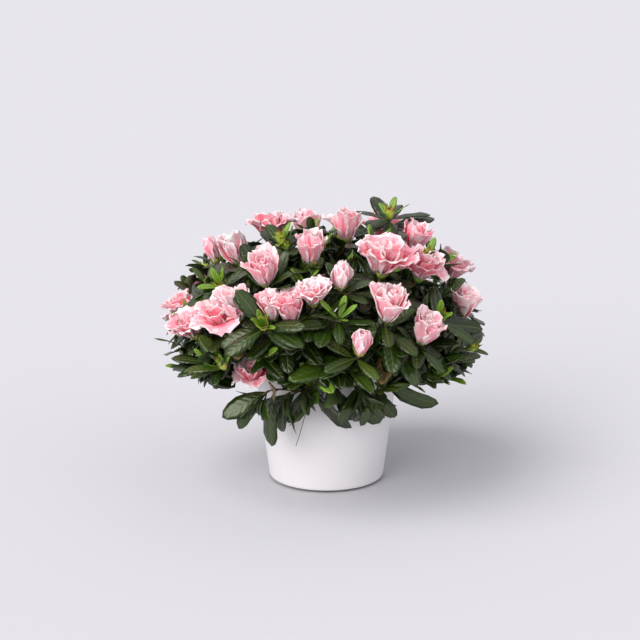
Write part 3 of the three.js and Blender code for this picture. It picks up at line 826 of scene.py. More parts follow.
# ---- Petals, sepals and bud scales ----

PETAL_STEPS = 40  # steps in which a petal's centre line is summed
FULL_WIDTH = 0.68  # share of a petal's length where it is widest
LATE = 0.6  # share of it from which it flares and draws in


def petals_shell(petals, rows, columns, tones):
    """Closed thin petals from arrays of their sizes and bends, on a grid of v from claw to tip and
    u from margin to margin.

    The centre line starts beside the flower's axis and leaves it at an angle that goes from first
    lean to last lean, with an extra flare over its last two fifths. The half width grows from the
    claw as a quarter sine and draws in a little towards the tip, whose margin is a scalloped arc.
    Across, the petal is an arc curved towards the axis (its cup), with a jagged margin. Ruffles
    are waves along the margin that fade inwards. The second side lies a thickness behind the
    first, against the cross product of the steps up and across the grid.
    """
    count = len(petals["length"])
    get = {key: value[:, None, None] for key, value in petals.items() if value.ndim == 1}
    v, u = rows[:, None], columns[None, :]
    phase, waves, width = get["phase"], get["waves"], get["width"]

    def late(share):
        return np.clip((share - LATE) / (1 - LATE), 0, 1) ** 2

    fine = np.linspace(0, 1, PETAL_STEPS + 1)
    lean = mix(petals["lean0"][:, None], petals["lean1"][:, None], fine)
    lean = lean + petals["flare"][:, None] * late(fine)
    step = petals["length"][:, None] / PETAL_STEPS
    out = np.cumsum(np.sin(lean) * step, axis=1) - np.sin(lean) * step
    up = np.cumsum(np.cos(lean) * step, axis=1) - np.cos(lean) * step
    scallop = get["jag"] * (1 + np.sin(9 * u + 3 * phase))
    at = PETAL_STEPS * v * (1 - 0.2 * np.abs(u) ** 2.4 * v**3 - scallop * v**6)
    low = np.minimum(at.astype(int), PETAL_STEPS - 1)
    petal = np.arange(count)[:, None, None]

    def along(values):
        return mix(values[petal, low], values[petal, low + 1], at - low)[..., None]

    grown = np.sin(np.pi / 2 * np.clip(v / FULL_WIDTH, 0, 1)) ** 1.1
    half = width / 2 * mix(get["claw"], 1, grown) * (1 - get["taper"] * late(v))
    margin = 1 - (1 - np.abs(u) ** 3) * (1 - v**4)
    way = u * (1 + 1.2 * (1 - v))
    ruffle = np.sin(2 * np.pi * waves * way + phase)
    ruffle = ruffle + 0.5 * np.sin(2 * np.pi * 2.7 * waves * way + 1.7 * phase)
    jag = 1 + get["jag"] * margin * np.sin(11 * way + 2.3 * phase)
    curve = get["cup"] / (width / 2)
    bend = curve * u * jag * half
    aside = (np.sin(bend) / curve)[..., None]
    inward = ((1 - np.cos(bend)) / curve + get["ruffle"] * margin * ruffle)[..., None]

    base, axis, side = (petals[key][:, None, None] for key in ("base", "axis", "side"))
    third, turn = np.cross(axis, side), get["turn"][..., None]
    e_out = np.cos(turn) * side + np.sin(turn) * third
    e_round = np.cos(turn) * third - np.sin(turn) * side
    angle = along(lean)
    inner = np.sin(angle) * axis - np.cos(angle) * e_out
    radius, height = along(out) + get["claw_out"][..., None], along(up) + get["claw_up"][..., None]
    points = base + radius * e_out + height * axis + aside * e_round + inward * inner
    normal = unit(np.cross(np.gradient(points, axis=1), np.gradient(points, axis=2)))
    back = points - get["thickness"][..., None] * normal
    both = np.concatenate([p.reshape(count, -1, 3) for p in (points, back)], axis=1)
    quads, front = petal_faces(len(rows), len(columns))
    dealt = tones(petals, front, rows, columns)
    flat = np.stack(np.meshgrid(columns / 2 + 0.5, rows), -1).reshape(-1, 2)
    no_tris = np.empty((0, 3), int)
    return copies(both, quads, no_tris, dealt, 0, np.concatenate([flat, flat]))


def petal_faces(rows, columns):
    """The inner side, the outer side, and the strip round their margin, with the number of faces
    on each side."""
    size = rows * columns
    outer = grid_quads(rows, columns) + size
    inner = grid_quads(rows, columns)[:, ::-1]
    first, last = np.arange(columns), (rows - 1) * columns + np.arange(columns)
    left, right = np.arange(rows) * columns, np.arange(rows) * columns + columns - 1
    loop = np.concatenate([first[:-1], right[:-1], last[::-1][:-1], left[::-1][:-1]])
    after = np.roll(loop, -1)
    rim = np.stack([loop, after, after + size, loop + size], -1)
    return np.concatenate([inner, outer, rim]), len(inner)


PETAL_ROWS = np.array([0, 0.16, 0.34, 0.5, 0.65, 0.79, 0.9, 0.965, 1])
PETAL_COLUMNS = np.array([-1, -0.93, -0.72, -0.42, -0.12, 0.12, 0.42, 0.72, 0.93, 1])
SMALL_ROWS = np.array([0, 0.35, 0.7, 1])
SMALL_COLUMNS = np.array([-1, 0, 1])

# Numbers of the petals' finishes, from the throat's coral to the white margin.
CORAL, ROSE, SALMON, PINK, BLUSH, WHITE = range(6)

# The tone up a petal's inner and outer side, and the least tone from its middle to its margin, as
# shares of the way and the tones there.
INNER_TONES = ([0, 0.2, 0.4, 0.6, 0.85, 1], [-0.8, 0.0, 1.2, 2.5, 3.4, 4.2])
OUTER_TONES = ([0, 0.15, 0.4, 0.8, 1], [3.7, 2.9, 2.3, 2.5, 3.6])
MARGIN_TONES = ([0.6, 0.83, 0.97], [0, 2.6, 3.8])
RIM_TONE = 3.3
EDGE_PALER = 0.6  # what the inner side gains towards the margin
MIDDLE_DARKER = (0.7, 0.8)  # what the middle of the inner and of the outer side loses
STRAY = (0.55, 0.22)  # mean and spread of what chance adds to a face's tone
PATCHES = 0.9  # how far soft patches shift the tone


def petal_tones(petals, front, rows, columns):
    """Tones dealt to faces: coral at the claw, rose then salmon up the blade with a darker middle,
    blush towards the margin and white along it. The outer side is paler. Each petal is shifted
    by its paleness and in soft patches, and single faces by chance."""
    random = np.random.default_rng(SEEDS["petals"])
    count = len(petals["length"])
    r, c = np.divmod(np.arange(front), len(columns) - 1)
    v = (rows[r] + rows[r + 1]) / 2
    across = (columns[c] + columns[c + 1]) / 2
    u = np.abs(across)
    middle, margin = u < 0.1, np.interp(u, *MARGIN_TONES)
    inner = np.interp(v, *INNER_TONES) + EDGE_PALER * u**2 - MIDDLE_DARKER[0] * middle
    outer = np.interp(v, *OUTER_TONES) - MIDDLE_DARKER[1] * middle
    rim = np.full(2 * (len(rows) + len(columns) - 2), RIM_TONE)
    base = np.concatenate([np.maximum(inner, margin), np.maximum(outer, margin), rim])
    stray = random.normal(*STRAY, (count, len(base)))
    along, aside = random.uniform(0, 2 * np.pi, (2, count, 1))
    patches = PATCHES * np.sin(5 * v + 3 * across + along) * np.sin(4 * across + aside)
    stray[:, : 2 * front] += np.concatenate([patches, patches], axis=1)
    shifted = base + stray + petals["pale"][:, None]
    return np.clip(np.round(shifted), CORAL, WHITE).astype(int)


def scale_tones(petals, front, rows, columns):
    """Bud scales and sepals: one tone below, another along the last row."""
    faces = 2 * front + 2 * (len(rows) + len(columns) - 2)
    dealt = np.repeat(petals["tone"][:, None], faces, axis=1)
    last_row = np.arange(front - len(columns) + 1, front)
    dealt[:, np.append(last_row, last_row + front)] = petals["tip_tone"][:, None]
    return dealt


# Tiers of petals: how many, length, width, distance out and up of the claw, lean in degrees at the
# claw and at the tip and how much the tip's varies, flare and cup in degrees, ruffle.
Tier = namedtuple("Tier", "count length width out up lean0 lean1 loose flare cup ruffle")
TIERS = {
    "open": [
        Tier(5, 30, 30, 2.2, 3, 24, 80, 24, 12, 26, 1.5),
        Tier(4, 29, 26, 1.8, 4, 14, 46, 16, 16, 38, 1.8),
        Tier(3, 24, 19, 1.0, 5, 6, 22, 12, 10, 52, 1.5),
        Tier(2, 19, 13, 0.4, 6, 0, 8, 10, 6, 64, 1.2),
    ],
    "half": [
        Tier(5, 32, 25, 2.0, 1, 30, 6, 12, 24, 46, 1.2),
        Tier(3, 30, 21, 1.4, 3, 20, 2, 8, 18, 50, 1.4),
        Tier(2, 26, 15, 0.8, 4, 10, 0, 5, 10, 60, 1.0),
    ],
    "bud": [
        Tier(3, 23, 20, 1.6, 0, 36, -28, 3, 0, 66, 0.3),
        Tier(3, 22, 15, 1.0, 2, 24, -18, 4, 6, 62, 0.5),
    ],
}
PETAL_THICKNESS = 0.5
FALLING = {"open": 0.3, "half": 0.2, "bud": 0}  # share of a blossom's outer petals that hang
FALL = 42  # degrees by which they do
LOW_BLOSSOM = 114  # height of the tip under which a blossom hangs below the crown
# How far blossoms turn up from their shoot's axis, as a share of it, and a low one times more.
BLOSSOM_LIFT, LOW_LIFT = 0.9, 2.6


def blossom_axis(shoot):
    """Blossoms turn up from their shoot's axis, most of all one that hangs below the crown."""
    lift = BLOSSOM_LIFT * (LOW_LIFT if shoot["tip"][2] < LOW_BLOSSOM else 1)
    return unit(shoot["axis"] + lift * UP)


def side_of(axis, random):
    """A side of an axis, by chance, from which turns about it are counted."""
    return leaning(axis, np.array(random.uniform(0, 360)), np.array(90.0))


def repeated(count, **values):
    """What all petals of a flower share, once for each."""
    return {key: np.tile(value, (count,) + (1,) * np.ndim(value)) for key, value in values.items()}


def flower_petals(shoots, random):
    """The petals of all blossoms, tier by tier, each turned to stand between those outside it."""
    made = []
    for shoot in shoots:
        size, axis = shoot["size"], blossom_axis(shoot)
        where = dict(base=shoot["tip"], axis=axis, side=side_of(axis, random))
        for level, tier in enumerate(TIERS[shoot["bloom"]]):
            count = tier.count
            turns = 360 / count * (np.arange(count) + 0.5 * level) + random.normal(0, 9, count)
            vary = random.normal(0, 1, (6, count))
            falls = random.random(count) < (0 if level else FALLING[shoot["bloom"]])
            petals = repeated(count, **where, thickness=PETAL_THICKNESS, claw=0.3)
            petals.update(repeated(count, claw_out=size * tier.out, claw_up=size * tier.up))
            petals.update(
                turn=np.radians(turns),
                length=size * tier.length * (1 + 0.07 * vary[0]),
                width=size * tier.width * (1 + 0.09 * vary[1]),
                lean0=np.radians(tier.lean0 + 4 * vary[2]),
                lean1=np.radians(tier.lean1 + tier.loose * vary[3] + FALL * falls),
                flare=np.radians(tier.flare + 12 * vary[4]),
                cup=np.radians(tier.cup + 6 * vary[5]),
                taper=random.uniform(0.05, 0.3, count),
                ruffle=size * tier.ruffle * random.uniform(0.6, 1.4, count),
                waves=random.uniform(0.9, 1.5, count),
                phase=random.uniform(0, 2 * np.pi, count),
                jag=random.uniform(0.02, 0.07, count),
                pale=shoot["pale"] + random.normal(0, 0.3, count),
            )
            made.append(petals)
    return gathered(made)


# Numbers of the buds' finishes.
LIME, FRESH, TAN = range(3)
SEPALS = dict(count=5, lean0=42, lean1=26)
BUD_SCALES = dict(count=7, lean0=30, lean1=-2)
BUD_CHANCE = 0.35  # share of the rule's leafy tips that have a bud
BUD_SIZES, WHORL_BUD = (0.8, 1.25), 1.4


def has_bud(shoot, random):
    return shoot["whorl"] if "whorl" in shoot else random.random() < BUD_CHANCE


def scale_petals(shoots, random):
    """Sepals under each blossom, and the scales of the buds at leafy tips in two layers."""
    made = []
    for shoot in shoots:
        if shoot["bloom"]:
            kind, size, axis = SEPALS, shoot["size"], blossom_axis(shoot)
        else:
            kind, axis = BUD_SCALES, shoot["axis"]
            size = WHORL_BUD if "whorl" in shoot else random.uniform(*BUD_SIZES)
        count = kind["count"]
        where = dict(base=shoot["tip"] - axis, axis=axis, side=side_of(axis, random))
        layer = np.zeros(count) if kind is SEPALS else np.arange(count) % 2
        scales = repeated(count, **where, thickness=PETAL_THICKNESS, claw=0.6, taper=0.75)
        scales.update(repeated(count, claw_out=1.3 * size, claw_up=-0.5, cup=math.radians(50)))
        scales.update(repeated(count, ruffle=0.0, waves=1.0, phase=0.0, jag=0.0))
        scales.update(
            turn=np.radians(360 / count * np.arange(count) + random.normal(0, 8, count)),
            length=size * (9 + 3 * layer) * random.uniform(0.85, 1.2, count),
            width=size * (5.2 - 0.8 * layer),
            lean0=np.radians(kind["lean0"] - 8 * layer),
            lean1=np.radians(random.normal(kind["lean1"], 10, count)),
            flare=np.radians(random.normal(8, 10, count)),
            tone=np.where(random.random(count) < 0.6, LIME, FRESH),
            tip_tone=np.where(random.random(count) < 0.4, TAN, LIME),
        )
        made.append(scales)
    return gathered(made)


# ---- Trunk, boughs, pot and peat ----


def waves(points, length, seed, count=14):
    """Smooth unevenness, about -1 to 1: the mean of sine waves of one length in many directions."""
    random = np.random.default_rng(seed)
    directions = unit(random.normal(size=(count, 3))) * random.uniform(0.8, 1.6, (count, 1))
    phases = random.uniform(0, 2 * np.pi, count)
    return np.sin(2 * np.pi / length * points @ directions.T + phases).mean(axis=-1) * 2


BARK_DEPTH = 0.05


def bark_relief(lines, radii, sides):
    """Radii of ringed limbs with the bark's relief: ridges that run up the limb and wander round
    it, broken by short cross cracks, as a share of the radius."""
    up = 9 * np.linspace(0, 1, lines.shape[1])[:, None]
    a = 2 * np.pi * np.arange(sides) / sides
    ridges = np.sin(5 * a + 1.3 * np.sin(up)) + 0.6 * np.sin(8 * a - 1.7 * np.cos(0.8 * up))
    cracks = np.maximum(0, np.sin(7 * up + 2 * np.sin(3 * a))) ** 4
    return radii[..., None] * (1 + BARK_DEPTH * (ridges - cracks))


TRUNK_RINGS, TRUNK_SIDES, TRUNK_IN_PEAT = 44, 28, 3
BOUGH_RINGS, STEM_RINGS, BOUGH_SIDES = 26, 6, 12


def trunk_shell():
    """The trunk tapers up from a root flare, and its lowest ring lies in the peat."""
    line = trunk_line(np.clip(np.linspace(-0.02, 1, TRUNK_RINGS), 0, 1))
    line[0, 2] = SOIL_TOP - TRUNK_IN_PEAT
    height = np.clip(line[:, 2] - SOIL_TOP, 0, None)
    flare = np.clip(1 - height / TRUNK["flare_height"], 0, 1) ** 2
    radii = mix(TRUNK["radius"], TRUNK["tip_radius"], height / TRUNK["height"])
    radii = radii + (TRUNK["flare_radius"] - TRUNK["radius"]) * flare
    line, radii = line[None], radii[None]
    return tubes(line, bark_relief(line, radii, TRUNK_SIDES), TRUNK_SIDES)


def boughs_shell(masses):
    """The boughs, each with the stem that goes on from it."""
    lines, radii = [], []
    for mass in masses:
        controls = bough_controls(mass)
        enters = unit(controls[2] - controls[1])
        curve = bezier(controls, np.linspace(0, 1, BOUGH_RINGS))
        onward = np.linspace(1, STEM["length"] + 2, STEM_RINGS)[:, None]
        lines.append(np.concatenate([curve, mass.entry + enters * onward]))
        taper = mix(mass.radius, BOUGH["tip_radius"], np.linspace(0, 1, BOUGH_RINGS))
        stem_taper = np.linspace(BOUGH["tip_radius"], STEM["tip_radius"], STEM_RINGS)
        radii.append(np.append(taper, stem_taper))
    lines, radii = np.array(lines), np.array(radii)
    return tubes(lines, bark_relief(lines, radii, BOUGH_SIDES), BOUGH_SIDES)


def arc(centre_x, centre_y, radius, first, last, steps):
    a = np.radians(np.linspace(first, last, steps + 1))
    return np.stack([centre_x + radius * np.cos(a), centre_y + radius * np.sin(a)], -1)


def inner_radius(height):
    return mix(POT["foot_radius"], POT["rim_radius"], height / POT["height"]) - POT["wall"]


POT_SIDES = 128
RECESS = 2.4  # how far in from the foot the recess round the underside reaches, in roundings
RECESS_EDGE, WALL_EDGE = -35, -5  # degrees at which the foot's rounding starts and ends


def pot_shell():
    """The pot: a flat underside, a shallow recess round it, a rounded foot, a straight flared wall
    and a round lip. The underside and the recess get a dark grey that is painted shade, for the
    dark line where the pot meets the floor."""
    foot, rim, height, lip = POT["foot_radius"], POT["rim_radius"], POT["height"], POT["wall"] / 2
    rounding, floor = POT["foot_rounding"], POT["floor"]
    inner = foot - RECESS * rounding
    gap = rounding * (1 + math.sin(math.radians(RECESS_EDGE)))
    profile = np.concatenate(
        [
            [[0, 0], [inner, 0], [inner, gap]],
            arc(foot - rounding, rounding, rounding, RECESS_EDGE, WALL_EDGE, 6),
            arc(rim - lip, height - lip, lip, WALL_EDGE, 180 - WALL_EDGE, 12),
            [[inner_radius(floor + 4), floor + 4], [inner_radius(floor) - 3, floor], [0, floor]],
        ]
    )
    shell = turned(profile, POT_SIDES)
    # The recess's two rings of faces and the underside's fan get the dark grey of painted shade.
    recess_shade = np.arange(len(shell.quads)) < 2 * POT_SIDES
    recess_shade_fans = np.arange(len(shell.tris)) < POT_SIDES
    return shell._replace(quad_finish=recess_shade.astype(int), tri_finish=recess_shade_fans.astype(int))


PEAT_RINGS, PEAT_SIDES = 26, 96
PEAT_DROP = 2.2  # how far the peat falls from its middle to its edge


def peat_shell():
    """The peat fills the pot: a smooth side and underside, and a crumbled top as rings whose
    heights follow waves of two lengths."""
    base = POT["floor"] + CLEARANCE
    edge = inner_radius(SOIL_TOP) - CLEARANCE - 0.6
    outs = np.linspace(1, 0.04, PEAT_RINGS)
    side = [[0, base], [inner_radius(base) - 4, base], [inner_radius(base + 5) - 0.8, base + 5]]
    top = np.stack([edge * outs, SOIL_TOP - PEAT_DROP * outs**2], -1)
    profile = np.concatenate([side, top, [[0, SOIL_TOP]]])
    a = 2 * np.pi * np.arange(PEAT_SIDES) / PEAT_SIDES
    x, y = profile[1:-1, :1] * np.cos(a), profile[1:-1, :1] * np.sin(a)
    places = np.stack([x, y, 0 * x], -1)
    relief = 1.2 * waves(places, 16, SEEDS["peat"]) + 0.8 * waves(places, 6, SEEDS["peat"] + 1)
    relief[:2] = 0
    return turned(profile, PEAT_SIDES, relief)


CRUMBS = 420
CRUMB_RADII = (0.6, 1.9)


def crumbs_shell(random):
    """Loose crumbs of peat: small uneven lumps, rings of five between two poles."""
    a = 2 * np.pi * np.arange(5) / 5
    rings = [[0.72, -0.55], [1.0, 0.1], [0.66, 0.62]]  # radius and height of each
    lump = np.array([[r * math.cos(t), r * math.sin(t), z] for r, z in rings for t in a])
    lump = np.append(lump, [[0, 0, -0.85], [0, 0, 0.9]], axis=0)
    radius = (inner_radius(SOIL_TOP) - 4) * np.sqrt(random.random(CRUMBS))
    turn = random.uniform(0, 2 * np.pi, CRUMBS)
    size = random.uniform(*CRUMB_RADII, (CRUMBS, 1, 1))
    lumps = lump * size * random.uniform(0.75, 1.25, (CRUMBS, len(lump), 1))
    height = SOIL_TOP + random.uniform(-1.6, 1.0, CRUMBS)
    place = np.stack([radius * np.cos(turn), radius * np.sin(turn), height], -1)
    return copies(lumps + place[:, None], *ring_faces(3, 5))


# ---- Finishes ----


def linear(hex_colour):
    """An sRGB hex colour as the linear values that the shaders take."""
    values = [int(hex_colour[i : i + 2], 16) / 255 for i in (1, 3, 5)]
    return [v / 12.92 if v <= 0.04045 else ((v + 0.055) / 1.055) ** 2.4 for v in values] + [1.0]


def add(tree, kind, settings, links=(), feeds=()):
    """Adds a node: settings by socket name or number, or by property name, links given as
    (own socket, other node, its output), and feeds as (own output, other node, its socket)."""
    node = tree.nodes.new(kind)
    for key, value in settings.items():
        if isinstance(key, int) or key in node.inputs:
            node.inputs[key].default_value = value
        else:
            setattr(node, key, value)
    for socket, other, output in links:
        tree.links.new(other.outputs[output], node.inputs[socket])
    for output, other, socket in feeds:
        tree.links.new(node.outputs[output], other.inputs[socket])
    return node


def finish(name, colour, roughness, **sockets):
    """A finish with one shader, whose constants are set on its own sockets."""
    material = bpy.data.materials.new(name)
    material.use_nodes = True
    _, shader = inside(material)
    shader.inputs["Base Color"].default_value = linear(colour)
    shader.inputs["Roughness"].default_value = roughness
    for key, value in sockets.items():
        shader.inputs[key.replace("_", " ")].default_value = value
    return material


def inside(material):
    """A finish's node tree and its shader."""
    return material.node_tree, material.node_tree.nodes["Principled BSDF"]


def relieved(material, pattern, output, depth, strength):
    """The finish with a pattern's relief, whose depth is in millimetres."""
    tree, shader = inside(material)
    bump = {"Strength": strength, "Distance": depth * MM}
    feeds = [("Normal", shader, "Normal")]
    add(tree, "ShaderNodeBump", bump, [("Height", pattern, output)], feeds)
    return material


def leaf_finish(name, colour):
    """Leathery evergreen blade with a waxy cuticle: a soft broad gloss. Side veins every 5 to 6 mm
    run from the midrib towards the tip at about 45 degrees, with a relief of 0.35 mm."""
    tint = (1.0, 1.0, 0.84, 1.0)
    material = finish(name, colour, 0.29, Specular_IOR_Level=0.62, Specular_Tint=tint)
    tree, _ = inside(material)
    place = add(tree, "ShaderNodeUVMap", {"uv_map": "surface"})
    parts = add(tree, "ShaderNodeSeparateXYZ", {}, [(0, place, "UV")])
    aside = add(tree, "ShaderNodeMath", {"operation": "SUBTRACT", 1: 0.5}, [(0, parts, "X")])
    aside = add(tree, "ShaderNodeMath", {"operation": "ABSOLUTE"}, [(0, aside, 0)])
    # the width is 0.39 of the length, so a gain of about as much over it is a slope of 45 degrees
    slope = {"operation": "MULTIPLY_ADD", 1: -0.42}
    slant = add(tree, "ShaderNodeMath", slope, [(0, aside, 0), (2, parts, "Y")])
    veins = add(tree, "ShaderNodeCombineXYZ", {}, [(0, slant, 0)])
    bands = {"Scale": 2.4, "Distortion": 0.6, "wave_type": "BANDS", "bands_direction": "X"}
    ribs = add(tree, "ShaderNodeTexWave", bands, [("Vector", veins, 0)])
    return relieved(material, ribs, "Color", depth=0.35, strength=0.5)


def petal_finish(name, colour):
    """Thin moist petal: matt, with light that passes some way through it, and fine veins along
    it every 1.5 mm, drawn a little coarser than real ones so that they show."""
    soft = dict(Subsurface_Weight=0.3, Subsurface_Radius=(0.003,) * 3, Subsurface_Scale=1.0)
    material = finish(name, colour, 0.55, Specular_IOR_Level=0.35, **soft)
    tree, _ = inside(material)
    place = add(tree, "ShaderNodeUVMap", {"uv_map": "surface"})
    drawn = add(tree, "ShaderNodeMapping", {"Scale": (16, 1.6, 1)}, [("Vector", place, "UV")])
    noise = {"Scale": 1.0, "Detail": 3.0}
    veins = add(tree, "ShaderNodeTexNoise", noise, [("Vector", drawn, 0)])
    return relieved(material, veins, "Fac", depth=0.5, strength=0.4)


def grained(material, grain, length, noise, dark, light, **relief):
    """The finish with grains of a width in millimetres, which are some times as long upright. The
    hollows are dark and the heights light, each a share of the noise and the tone from there."""
    tree, shader = inside(material)
    place = add(tree, "ShaderNodeTexCoord", {})
    stretch = {"Scale": (1, 1, 1 / length)}
    stretched = add(tree, "ShaderNodeMapping", stretch, [("Vector", place, "Object")])
    noise = dict(noise, Scale=1000 / grain)
    grains = add(tree, "ShaderNodeTexNoise", noise, [("Vector", stretched, 0)])
    feeds = [("Color", shader, "Base Color")]
    ramp = add(tree, "ShaderNodeValToRGB", {}, [("Fac", grains, "Fac")], feeds).color_ramp
    for element, (share, tone) in zip(ramp.elements, (dark, light)):
        element.position, element.color = share, linear(tone)
    return relieved(material, grains, "Fac", **relief)


def bark_finish(name, dark, light, grain):
    """Rough bark: long fibres, about four times as long as they are wide, in two browns."""
    bark, noise = finish(name, light, 0.85), {"Detail": 5.0, "Roughness": 0.65}
    ends = dict(dark=(0.35, dark), light=(0.7, light))
    return grained(bark, grain, 4, noise, **ends, depth=0.6, strength=0.8)


def peat_finish():
    """Moist peat: dark brown crumbs 2 to 3 mm across, with paler fibres."""
    peat, noise = finish("moist_peat", "#2b1d14", 0.95), {"Detail": 6.0, "Roughness": 0.7}
    ends = dict(dark=(0.38, "#160e09"), light=(0.72, "#4a3524"))
    return grained(peat, 3, 1, noise, **ends, depth=1.2, strength=1.0)


def glaze_finish():
    """Satin white glaze on stoneware: an even coat whose surface waves slightly, about 6 mm from
    crest to crest, with a fine grain of 1.5 mm that varies its sheen."""
    material = finish("satin_white_glaze", "#e3e0e2", 0.42, Specular_IOR_Level=0.4)
    tree, shader = inside(material)
    place = add(tree, "ShaderNodeTexCoord", {})
    ripple, grain = (
        add(tree, "ShaderNodeTexNoise", noise, [("Vector", place, "Object")])
        for noise in ({"Scale": 1000 / 6, "Detail": 2.0}, {"Scale": 1000 / 1.5, "Detail": 3.0})
    )
    feeds = [("Result", shader, "Roughness")]
    sheen = {"To Min": 0.38, "To Max": 0.5}
    add(tree, "ShaderNodeMapRange", sheen, [("Value", grain, "Fac")], feeds)
    return relieved(material, ripple, "Fac", depth=0.12, strength=0.3)


# Finishes of the blades and of the petals in the order of their numbers, with their colours.
BLADES = dict(
    blade_deep_green="#132203",
    blade_mid_green="#213607",
    blade_olive_green="#374c10",
    blade_young_green="#6f9426",
    blade_bronze="#5c4720",
)
PETALS = dict(
    petal_coral="#ee2c42",
    petal_rose="#fb5870",
    petal_salmon="#ff8598",
    petal_pink="#ffa9b6",
    petal_blush="#ffcfd6",
    petal_white="#fff0f0",
)


# ---- Building the plant ----


TWIG_SIDES = 6
UPPER_LEAVES = 167  # height from which leaves are a piece of their own


def grow_leaves(masses, blooming, leafy, random):
    """All leaves, after the twigs that they stand on."""
    blossoms = blossom_zones(blooming)
    leaves = []
    for mass in masses:
        grow(mass)
        leaves.append(place_leaves(mass, blossoms, random))
    leaves = gathered(leaves + [tip_leaves(leafy, random)])
    return dict(leaves, **bends(len(leaves["length"]), random))


def twigs_shell(masses):
    """The twigs, each with the radius of its root and thinner at its tip, and the threads."""
    lines, radii = [], []
    for shoot in (shoot for mass in masses for shoot in mass.shoots + mass.sprigs):
        root_radius = shoot["radius"]
        lines.append(shoot["line"])
        radii.append(mix(root_radius, TWIG["tip_radius"] * min(1, root_radius), ALONG))
    for controls in THREADS:
        lines.append(bezier(np.array(controls, float), ALONG))
        radii.append(mix(*THREAD_RADII, ALONG))
    return tubes(np.array(lines), np.array(radii), TWIG_SIDES)


def make_bark(masses, foliage_nodes):
    old_bark = bark_finish("grey_brown_bark", "#3b2b20", "#7a6552", 2.0)
    twig_bark = bark_finish("young_twig_bark", "#4a3a22", "#7d6a3e", 1.2)
    bough_nodes = [f"bough_{mass.name}" for mass in masses]
    make_piece("trunk_bark", trunk_shell(), [old_bark], ["trunk"])
    make_piece("boughs_bark", boughs_shell(masses), [old_bark], bough_nodes)
    make_piece("twigs", twigs_shell(masses), [twig_bark], foliage_nodes)


def make_leaves(leaves, foliage_nodes):
    blades = [leaf_finish(name, colour) for name, colour in BLADES.items()]
    blades.append(finish("midrib_pale_green", "#56682c", 0.45))
    # The undersides' green is partly their own and partly painted shade: it is darker than their
    # real paler green, for leaves that hang low in the crown's shade.
    blades.append(finish("underside_green_with_painted_shade", "#43552b", 0.6))
    upper = leaves["root"][:, 2] > UPPER_LEAVES
    for name, chosen in (("leaves_lower", ~upper), ("leaves_upper", upper)):
        part = {key: value[chosen] for key, value in leaves.items()}
        make_piece(name, leaves_shell(part), blades, foliage_nodes)


def make_blossoms(blooming, leafy, foliage_nodes, random):
    tints = [petal_finish(name, colour) for name, colour in PETALS.items()]
    petals = flower_petals(blooming, random)
    shell = petals_shell(petals, PETAL_ROWS, PETAL_COLUMNS, petal_tones)
    make_piece("blossoms", shell, tints, foliage_nodes)

    lime = finish("bud_scale_lime", "#bcc552", 0.5)
    fresh = finish("bud_scale_fresh_green", "#87a63c", 0.5)
    tan = finish("bud_scale_tan_tip", "#a8622e", 0.6)
    budded = [shoot for shoot in leafy if has_bud(shoot, random)]
    scales = scale_petals(blooming + budded, random)
    shell = petals_shell(scales, SMALL_ROWS, SMALL_COLUMNS, scale_tones)
    make_piece("calyces_and_bud_scales", shell, [lime, fresh, tan], foliage_nodes)


def make_pot(random):
    # Dark grey painted shade on the underside and in the recess round it, where the pot meets the
    # floor.
    recess_shade = finish("recess_painted_shade", "#4a4644", 0.9)
    make_piece("pot_glazed", pot_shell(), [glaze_finish(), recess_shade], ["pot"])
    peat = peat_finish()
    make_piece("peat", peat_shell(), [peat], ["soil"])
    make_piece("peat_crumbs", crumbs_shell(random), [peat])


def build_plant():
    """Places the crown's limbs by the source's rule, and makes every piece of plant and pot."""
    masses = [Mass(ring, i) for ring in RINGS for i in range(ring["count"])]
    for mass in masses:
        mass.border(masses)
    shoots = place_shoots(masses)
    place_sprigs(masses, shoots)
    leaf_random = np.random.default_rng(SEEDS["leaves"])
    petal_random = np.random.default_rng(SEEDS["petals"])
    deal_tones(shoots + [s for mass in masses for s in mass.sprigs], leaf_random)
    blooming = [shoot for shoot in shoots if shoot["bloom"]]
    leafy = [s for mass in masses for s in mass.shoots + mass.sprigs if not s["bloom"]]
    leaves = grow_leaves(masses, blooming, leafy, leaf_random)

    foliage_nodes = [f"foliage_{mass.name}" for mass in masses]
    make_bark(masses, foliage_nodes)
    make_leaves(leaves, foliage_nodes)
    make_blossoms(blooming, leafy, foliage_nodes, petal_random)
    make_pot(petal_random)


# ---- Floor, light and camera ----


def floor_finish():
    """Smooth matt studio paper, pale grey with a breath of violet."""
    return finish("studio_paper", "#c9c8cc", 0.9, Specular_IOR_Level=0.1)


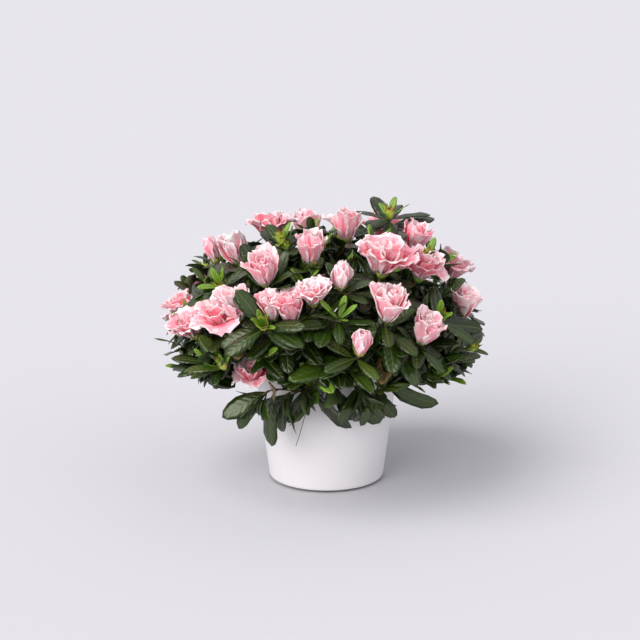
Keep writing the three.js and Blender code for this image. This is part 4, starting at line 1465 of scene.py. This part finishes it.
def make_floor():
    """A plain floor so wide that it fills the view: its edge lies beyond the horizon's haze."""
    reach = 60.0  # metres
    mesh = bpy.data.meshes.new("floor")
    corners = [(-reach, -reach, 0), (reach, -reach, 0), (reach, reach, 0), (-reach, reach, 0)]
    mesh.from_pydata(corners, [], [(0, 1, 2, 3)])
    mesh.materials.append(floor_finish())
    floor = bpy.data.objects.new("floor", mesh)
    bpy.context.scene.collection.objects.link(floor)


def soft_light(name, towards, strength, angle):
    """A distant light of a wide angle in degrees, which comes from a direction."""
    light = bpy.data.lights.new(name, "SUN")
    light.energy, light.angle = strength, math.radians(angle)
    light.color = (1.0, 0.985, 0.97)
    holder = bpy.data.objects.new(name, light)
    x, y, z = holder.location = towards
    holder.rotation_euler = (math.atan2(math.hypot(x, y), z), 0, math.atan2(x, -y))
    bpy.context.scene.collection.objects.link(holder)


def make_light():
    """A soft light high at the left, a low one in front at the left, a weak one from a pale card
    at the right, and a pale surrounding."""
    soft_light("high_soft_light", towards=(-0.6, -0.35, 1.0), strength=1.75, angle=44)
    soft_light("low_soft_light", towards=(-0.7, -0.97, 0.5), strength=1.65, angle=40)
    soft_light("pale_card_light", towards=(1.0, -0.65, 0.3), strength=0.4, angle=60)
    world = bpy.data.worlds.new("studio")
    world.use_nodes = True
    background = world.node_tree.nodes["Background"]
    background.inputs["Color"].default_value = linear("#e9e9ee")
    background.inputs["Strength"].default_value = 0.84
    bpy.context.scene.world = world


CAMERA = dict(place=(-5.988, -1340.733, 461.652), downward=13.0754, lens=83.475, sensor=36)


def make_camera():
    """A long lens about 1.4 m away that looks down by 13 degrees."""
    lens = bpy.data.cameras.new("camera")
    lens.sensor_width, lens.lens = CAMERA["sensor"], CAMERA["lens"]
    lens.dof.use_dof = False
    lens.clip_end = 200
    camera = bpy.data.objects.new("camera", lens)
    camera.location = [MM * x for x in CAMERA["place"]]
    camera.rotation_euler = (math.radians(90 - CAMERA["downward"]), 0, 0)
    bpy.context.scene.collection.objects.link(camera)
    bpy.context.scene.camera = camera


build_plant()
make_floor()
make_light()
make_camera()
bpy.context.scene.view_settings.view_transform = "Standard"
